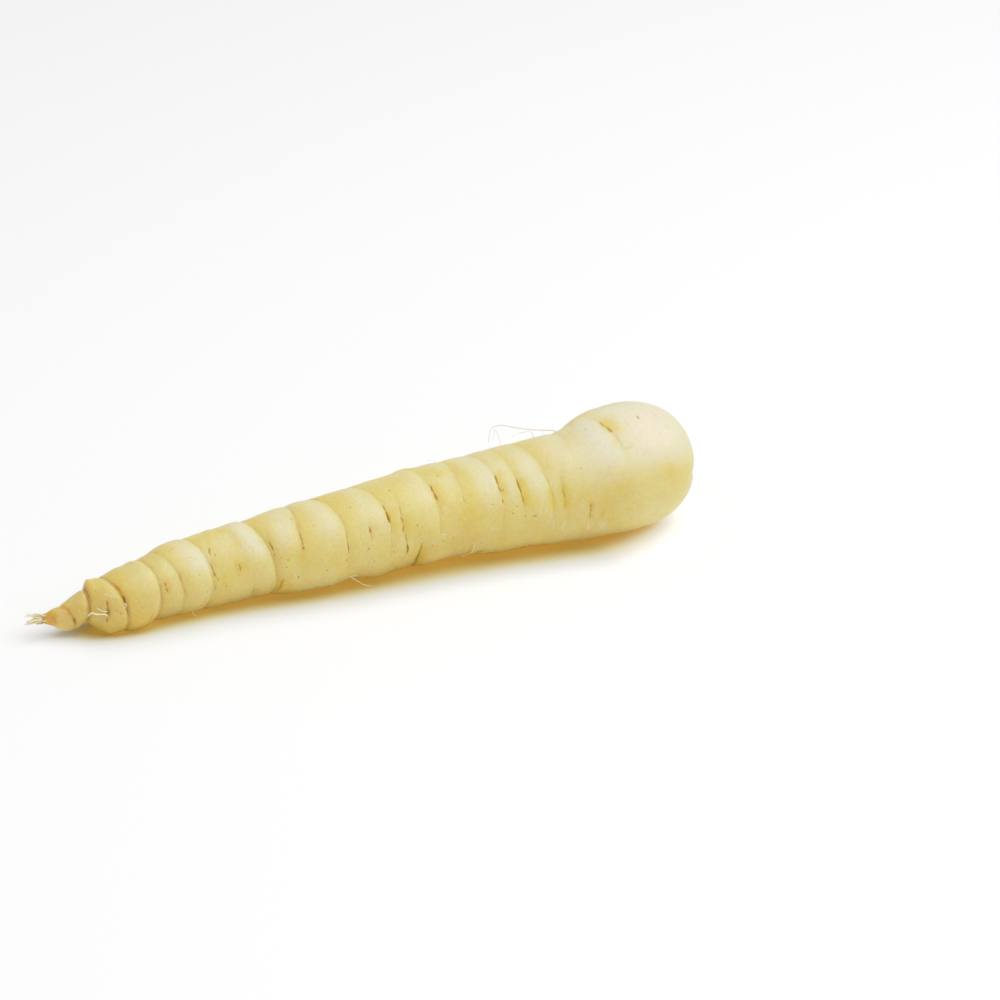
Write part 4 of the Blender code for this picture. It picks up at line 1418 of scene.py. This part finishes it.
HAIRS = (
    # The forked rootlet in the crease above the tail
    pale(0.44, (18.9, 90.0, 0.1), (18.6, 83.0, 0.7), (17.4, 81.0, 0.6), (16.4, 80.0, 0.8),
         (15.6, 73.0, 1.2), (15.0, 74.0, 1.4), (14.4, 78.0, 1.5), tip=0.26),
    pale(0.26, (19.3, 80.0, 0.1), (18.7, 77.0, 0.6), (17.8, 74.0, 0.6), (16.8, 64.0, 0.7), tip=0.14),
    pale(0.22, (23.1, 72.0, 0.1), (23.6, 75.0, 0.5), (23.0, 79.0, 0.7), tip=0.12),
    # Hairs that hang down in front
    pale(0.28, (40.4, 139.0, 0.1), (40.8, 143.0, 0.9), (41.6, 150.0, 2.2), (42.0, 154.0, 3.2), tip=0.14),
    pale(0.32, (82.1, 131.0, 0.1), (83.8, 136.0, 1.2), (86.0, 141.0, 2.5), (88.2, 145.0, 3.8), tip=0.14),
    pale(0.2, (81.4, 128.0, 0.1), (82.6, 124.0, 0.6), (83.6, 127.0, 0.5)),
    # The curled rootlets low on the front
    pale(0.36, (116.1, 117.0, 0.0), (115.9, 123.0, 0.6), (115.6, 132.0, 0.7), (115.2, 140.0, 0.5), tip=0.22),
    pale(0.32, (114.9, 142.0, 0.1), (114.0, 141.0, 0.7), (113.3, 136.0, 0.8), (112.6, 128.0, 0.4), tip=0.16),
    # Torn strands on the tip of the tail
    tan(0.5, (5.8, 30.0, -0.2), (5.0, 36.0, -0.1), (4.2, 44.0, 0.1), (3.2, 50.0, 0.5), tip=0.4),
    tan(0.5, (5.6, 84.0, -0.2), (4.9, 82.0, -0.1), (4.1, 80.0, 0.2), (3.0, 76.0, 0.6), tip=0.4),
    tan(0.5, (5.4, 128.0, -0.2), (4.7, 124.0, -0.1), (4.0, 118.0, 0.2), (3.0, 110.0, 0.6), tip=0.4),
    tan(0.5, (5.2, -20.0, -0.2), (4.6, -16.0, -0.1), (4.0, -10.0, 0.2), (3.0, 0.0, 0.6), tip=0.4),
    tan(0.24, (117.4, 142.0, 0.0), (118.2, 140.0, 0.3), (119.2, 136.0, 0.3), (120.2, 131.0, 0.2)),
    # Fine pale hairs on the neck
    pale(0.16, (146.1, 108.0, 0.0), (146.3, 114.0, 0.25), (146.2, 122.0, 0.2)),
    pale(0.16, (149.4, 111.0, 0.0), (149.1, 117.0, 0.25), (148.7, 124.0, 0.2)),
    pale(0.13, (137.6, 99.0, 0.0), (137.6, 104.0, 0.2), (137.3, 111.0, 0.15)),
    pale(0.13, (140.6, 101.0, 0.0), (140.4, 106.0, 0.2), (140.0, 113.0, 0.15)),
    pale(0.15, (92.0, 74.0, 0.0), (92.5, 71.0, 0.5), (92.9, 65.0, 0.4), (92.4, 62.0, 0.3)),
    pale(0.13, (105.4, 92.0, 0.0), (106.4, 90.0, 0.2), (108.0, 92.0, 0.1)),
    pale(0.13, (150.6, 12.0, 0.0), (151.8, 10.0, 0.4), (153.2, 14.0, 0.3)),
    # Hairs at the back of the neck
    tan(0.3, (146.5, -30.0, 0.0), (143.5, -33.0, 1.2), (139.5, -37.0, 2.4), (135.5, -40.0, 4.4),
        (132.9, -42.0, 6.0), (130.6, -44.0, 6.0), (129.8, -46.0, 4.8), (129.0, -48.0, 2.6), tip=0.12),
    tan(0.16, (140.0, -36.0, 2.2), (137.5, -38.0, 2.3), (135.9, -39.0, 2.5), (134.4, -38.0, 1.6)),
    tan(0.15, (131.6, -43.0, 6.0), (130.7, -43.0, 4.2), (129.8, -43.0, 2.4)),
    tan(0.14, (142.6, -28.0, 0.0), (142.3, -30.0, 0.6), (142.1, -31.0, 1.2)),
    tan(0.14, (113.0, -30.0, 0.0), (112.0, -31.0, 0.6), (110.8, -31.0, 0.9)),
    # Rootlets on the back and the underside
    pale(0.42, (92.0, -96.0, 0.0), (91.0, -95.0, 1.6), (89.8, -95.0, 3.0), (88.6, -97.0, 4.1),
         (87.6, -98.0, 4.4), tip=0.18),
    tan(0.3, (107.0, 205.0, 0.0), (106.4, 208.0, 0.4), (105.6, 212.0, 0.4), (105.0, 215.0, 0.2)),
    pale(0.24, (58.0, -120.0, 0.0), (57.4, -118.0, 0.6), (56.4, -117.0, 0.9), (55.8, -119.0, 1.0)),
    tan(0.22, (125.0, -80.0, 0.0), (124.6, -82.0, 0.5), (123.8, -85.0, 0.7), (123.0, -84.0, 0.8)),
    pale(0.2, (26.0, 152.0, 0.0), (25.4, 153.0, 0.4), (24.6, 156.0, 0.5)),
)


@dataclass
class LeafBases:
    """The cut leaf stalks and the plate that they stand on, down in the crown's hollow.

    The stalks stand in a spiral: reach is how far out the first is, and how much further the last.
    Each length of a stalk is its share of the height and how wide it ends against its start.
    A ring of the plate or of a stalk's cut face is the width of its inset and its rise.
    """

    form: RootForm
    stumps: int = 9
    turn: float = 137.5
    width: float = 2.6
    height: float = 2.9
    thickness: float = 1.1
    bow: float = 0.55
    shorter: float = 0.1
    reach: Point = (0.9, 2.3)
    lean: float = 0.11
    foot_height: float = 0.5
    lengths: tuple[Point, ...] = ((0.35, 0.94), (0.35, 0.97), (0.3, 1.02))
    cut_face: tuple[Point, ...] = ((0.16, 0.0), (0.12, -0.22))
    plate_radius: float = 4.4
    plate_height: float = 0.9
    plate_wall: float = 0.55
    plate_rings: tuple[Point, ...] = (
        (0.3, 0.2), (0.5, -0.15), (0.5, 0.15), (0.6, -0.15), (0.6, 0.1), (0.7, -0.1),
    )
    gap: float = 0.35

    def stump(self, number: int) -> bpy.types.Object:
        """Makes one channelled stalk, which leans out and is cut off across.

        Args:
            number: its place in the spiral.

        Returns:
            The stalk, standing on the plate's middle.
        """
        bpy.ops.object.select_all(action="DESELECT")
        bpy.ops.mesh.primitive_circle_add(vertices=16, radius=1.0, fill_type="NGON", location=(0.0, 0.0, 0.0))
        made = bpy.context.object
        for vert in made.data.vertices:
            side, out = vert.co.x, vert.co.y
            bow = self.bow * self.width * 0.5 * side * side
            vert.co = (0.5 * self.width * side, 0.5 * self.thickness * out - bow, 0.0)
        bpy.ops.object.mode_set(mode="EDIT")
        bpy.ops.mesh.select_all(action="SELECT")
        height = self.height * (1.0 - self.shorter * (number % 4))
        first, further = self.reach
        reach = first + further * math.sqrt(number / (self.stumps - 1))
        lean = self.lean * reach
        for share, grow in self.lengths:
            step = height * share
            bpy.ops.mesh.extrude_region_move(TRANSFORM_OT_translate={"value": (0.0, lean * step, step)})
            bpy.ops.transform.resize(value=(grow, grow, 1.0))
        for inset, rise in self.cut_face:
            bpy.ops.mesh.inset(thickness=inset, depth=rise)
        bpy.ops.mesh.select_all(action="SELECT")
        bpy.ops.mesh.normals_make_consistent(inside=False)
        bpy.ops.object.mode_set(mode="OBJECT")
        turned = Matrix.Rotation(math.radians(number * self.turn), 4, "Z")
        made.data.transform(turned @ Matrix.Translation((0.0, reach, self.foot_height)))
        self.smooth(made)
        return made

    @staticmethod
    def smooth(piece: bpy.types.Object) -> None:
        """Rounds a piece off with one level of subdivision."""
        modifier = piece.modifiers.new("round", "SUBSURF")
        modifier.levels = modifier.render_levels = 1
        bpy.ops.object.modifier_apply(modifier=modifier.name)

    def plate(self) -> bpy.types.Object:
        """Makes the plate: a low dome with the scars of older leaves round it.

        Returns:
            The plate, with the middle of the hollow under it at height 0.
        """
        bpy.ops.object.select_all(action="DESELECT")
        bpy.ops.mesh.primitive_circle_add(
            vertices=48, radius=self.plate_radius, fill_type="NGON", location=(0.0, 0.0, self.plate_height),
        )
        made = bpy.context.object
        bpy.ops.object.transform_apply(location=True, rotation=True, scale=True)
        bpy.ops.object.mode_set(mode="EDIT")
        bpy.ops.mesh.select_all(action="SELECT")
        bpy.ops.mesh.extrude_region_move(TRANSFORM_OT_translate={"value": (0.0, 0.0, self.plate_wall)})
        for inset, rise in self.plate_rings:
            bpy.ops.mesh.inset(thickness=inset, depth=rise)
        bpy.ops.mesh.select_all(action="SELECT")
        bpy.ops.mesh.normals_make_consistent(inside=False)
        bpy.ops.object.mode_set(mode="OBJECT")
        for vert in made.data.vertices:
            radius = math.hypot(vert.co.x, vert.co.y)
            bottom = self.form.dimple_depth - float(self.form.dimple(np.array(radius)))
            vert.co.z += bottom - self.plate_height
        return made

    def build(self) -> bpy.types.Object:
        """Makes the leaf bases and puts them into the hollow.

        Returns:
            The finished piece.
        """
        made = joined("leaf_stubs", [self.plate()] + [self.stump(number) for number in range(self.stumps)])
        foot = self.form.shoulder + self.form.crown_height - self.form.dimple_depth + self.gap
        along, up, front = self.form.axes(np.array(foot))
        turned = Matrix((up, front, along)).transposed().to_4x4()
        middle = Vector(self.form.spine(np.array(foot))) + Vector(SEAT)
        made.data.transform(Matrix.Scale(MM, 4) @ Matrix.Translation(middle) @ turned)
        return made


@dataclass
class Studio:
    """The pale floor, the soft light above it and the camera.

    The floor carries a painted shadow and a painted glow, set by how much of the sky near it is open. Its
    zones are in metres along the root, or in shares of open sky.
    """

    floor_size: float = 8.0
    floor_gap: float = 0.00003
    sky_reach: float = 0.014
    sky_samples: int = 8
    tail_zone: Point = (-0.074, -0.086)
    crown_zone: Point = (0.064, 0.082)
    # Where the painted golden glow and the painted light past the crown lie
    painted_glow_zone: Point = (0.34, 0.10)
    end_zone: Point = (0.056, 0.070)
    painted_end_light_zones: tuple[Point, Point] = ((0.98, 0.78), (0.18, 0.42))
    key_side: Triple = (0.45, -0.12, 1.0)
    key_distance: float = 1.3
    key_size: float = 1.6
    key_power: float = 22.0
    fill: float = 0.58
    film_white: float = 1.25
    film: tuple[Point, ...] = (
        (0.0, 0.0), (0.31, 0.40), (0.46, 0.585), (0.615, 0.72), (0.74, 0.80), (0.83, 0.87), (1.0, 1.0),
    )
    floor_white: Colour = (0.9, 0.9, 0.9, 1.0)
    # Painted light: a golden glow deep under the root, and a neutral light past the crown
    painted_floor_glow: Colour = (0.32, 0.18, 0.03, 1.0)
    painted_end_light: Colour = (0.29, 0.285, 0.275, 1.0)
    # Painted shadow: the floor's colour by how much sky is open
    painted_floor_shadow: tuple[tuple[float, Colour], ...] = (
        (0.31, (0.58, 0.43, 0.11, 1.0)), (0.45, (0.62, 0.51, 0.26, 1.0)), (0.55, (0.65, 0.63, 0.51, 1.0)),
        (0.66, (0.72, 0.74, 0.70, 1.0)), (0.76, (0.79, 0.80, 0.79, 1.0)), (0.88, (0.87, 0.88, 0.88, 1.0)),
        (1.0, (0.9, 0.9, 0.9, 1.0)),
    )

    @staticmethod
    def direction(right: float, away: float, up: float) -> Vector:
        """Turns a direction as the camera sees it into the part's frame.

        Args:
            right: how far it goes to the right.
            away: how far it goes away from the camera.
            up: how far it goes up.

        Returns:
            The direction, one unit long.
        """
        turn = math.radians(VIEW_TURN)
        across = Vector((math.cos(turn), -math.sin(turn), 0.0))
        ahead = Vector((math.sin(turn), math.cos(turn), 0.0))
        return (across * right + ahead * away + Vector((0.0, 0.0, up))).normalized()

    def key(self) -> None:
        """Hangs the square soft light that shines at the root."""
        towards = self.direction(*self.key_side)
        bpy.ops.object.light_add(type="AREA", location=towards * self.key_distance)
        lamp = bpy.context.object
        lamp.name = "key"
        lamp.rotation_euler = towards.to_track_quat("Z", "Y").to_euler()
        lamp.data.shape = "SQUARE"
        lamp.data.size = self.key_size
        lamp.data.energy = self.key_power

    def surroundings(self) -> None:
        """Lets an even white light in from all sides."""
        world = bpy.data.worlds.new("studio")
        bpy.context.scene.world = world
        world.use_nodes = True
        background = world.node_tree.nodes["Background"]
        background.inputs["Color"].default_value = WHITE
        background.inputs["Strength"].default_value = self.fill

    def floor_finish(self) -> bpy.types.Material:
        """Builds the floor's finish: white, with a painted golden shadow and a faint painted glow close to
        the root.

        Returns:
            The material; off the root's two ends its painted shadow fades to plain white, and past the crown
            a neutral painted light lifts the shade that is left.
        """
        shader = Shader("floor")
        settings, sockets = {"samples": self.sky_samples}, {"Distance": self.sky_reach}
        open_sky = shader.node("ShaderNodeAmbientOcclusion", settings, sockets, "AO")
        # Painted shadow, golden near the root
        shade = shader.node("ShaderNodeValToRGB", {"stops": self.painted_floor_shadow}, {0: open_sky})
        along = shader.along(shader.objects())
        tail, crown = along.between(*self.tail_zone), along.between(*self.crown_zone)
        # Painted light past the crown, and a painted golden glow deep under the root
        past_crown = along.between(*self.end_zone) * open_sky.within(*self.painted_end_light_zones)
        glow = shader.mix(open_sky.between(*self.painted_glow_zone) * (1.0 - tail), BLACK, self.painted_floor_glow)
        return shader.surface(
            Base_Color=shader.mix(tail + crown, shade, self.floor_white),
            Roughness=0.9,
            Specular_IOR_Level=0.0,
            Emission_Color=shader.mix(past_crown, glow, self.painted_end_light),
            Emission_Strength=1.0,
        )

    def build(self) -> None:
        """Sets up the floor, the lights, the camera and the film."""
        bpy.ops.object.select_all(action="DESELECT")
        bpy.ops.mesh.primitive_plane_add(size=self.floor_size, location=(0.0, 0.0, -self.floor_gap))
        floor = bpy.context.object
        floor.name = "floor"
        floor.data.materials.append(self.floor_finish())
        self.key()
        self.surroundings()
        self.camera()
        self.develop()

    def develop(self) -> None:
        """Gives the picture a film's soft highlights."""
        settings = bpy.context.scene.view_settings
        settings.view_transform = "Standard"
        settings.look = "None"
        settings.use_curve_mapping = True
        mapping = settings.curve_mapping
        mapping.white_level = (self.film_white,) * 3
        curve = mapping.curves[3]       # the one for all three channels together
        for place, value in self.film[1:-1]:
            curve.points.new(place, value)
        mapping.update()

    def camera(self) -> None:
        """Puts the camera where the picture was taken from."""
        target = Vector(VIEW_TARGET) * MM
        height = math.radians(VIEW_HEIGHT)
        back = self.direction(0.0, -math.cos(height), math.sin(height))
        bpy.ops.object.camera_add(location=target + back * VIEW_DISTANCE * MM)
        made = bpy.context.object
        made.rotation_euler = (-back).to_track_quat("-Z", "Y").to_euler()
        made.data.sensor_width = 36.0
        made.data.lens = VIEW_LENS
        made.data.clip_start = 0.01
        bpy.context.scene.camera = made


def fitted(piece: bpy.types.Object, finish: bpy.types.Material, node: str) -> None:
    """Gives a piece its finish and lets it stand for a node of the part.

    Args:
        piece: the finished mesh.
        finish: its material.
        node: the node that it replaces.
    """
    piece.data.materials.clear()
    piece.data.materials.append(finish)
    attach(piece, "root")
    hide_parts(node)
    piece.data.calc_loop_triangles()
    LOG.info("%s: %d triangles", piece.name, len(piece.data.loop_triangles))


def main() -> None:
    """Builds every piece in order and dresses it."""
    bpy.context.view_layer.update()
    form = RootForm()
    fibre = FibreFinish()
    marks = FRONT_MARKS + HiddenMarks().draw()
    fitted(Skin(form, marks).build(), SkinFinish().material(), "taproot")
    fitted(TailFringe(form).build(), fibre.material("fringe_fibre", 0.35), "taproot")
    for name, is_tan, share in (("pale_hairs", False, 0.15), ("tan_hairs", True, 0.8)):
        chosen = [(number, hair) for number, hair in enumerate(HAIRS) if hair.tan is is_tan]
        strands = [hair.strand(form).build(f"hair_{number}") for number, hair in chosen]
        fitted(joined(name, strands), fibre.material(name, share), "taproot")
    fitted(LeafBases(form).build(), LeafFinish().material(), "leaf_bases")
    Studio().build()


if __name__ == "__main__":
    logging.basicConfig(level=logging.INFO, format="%(message)s")
    main()
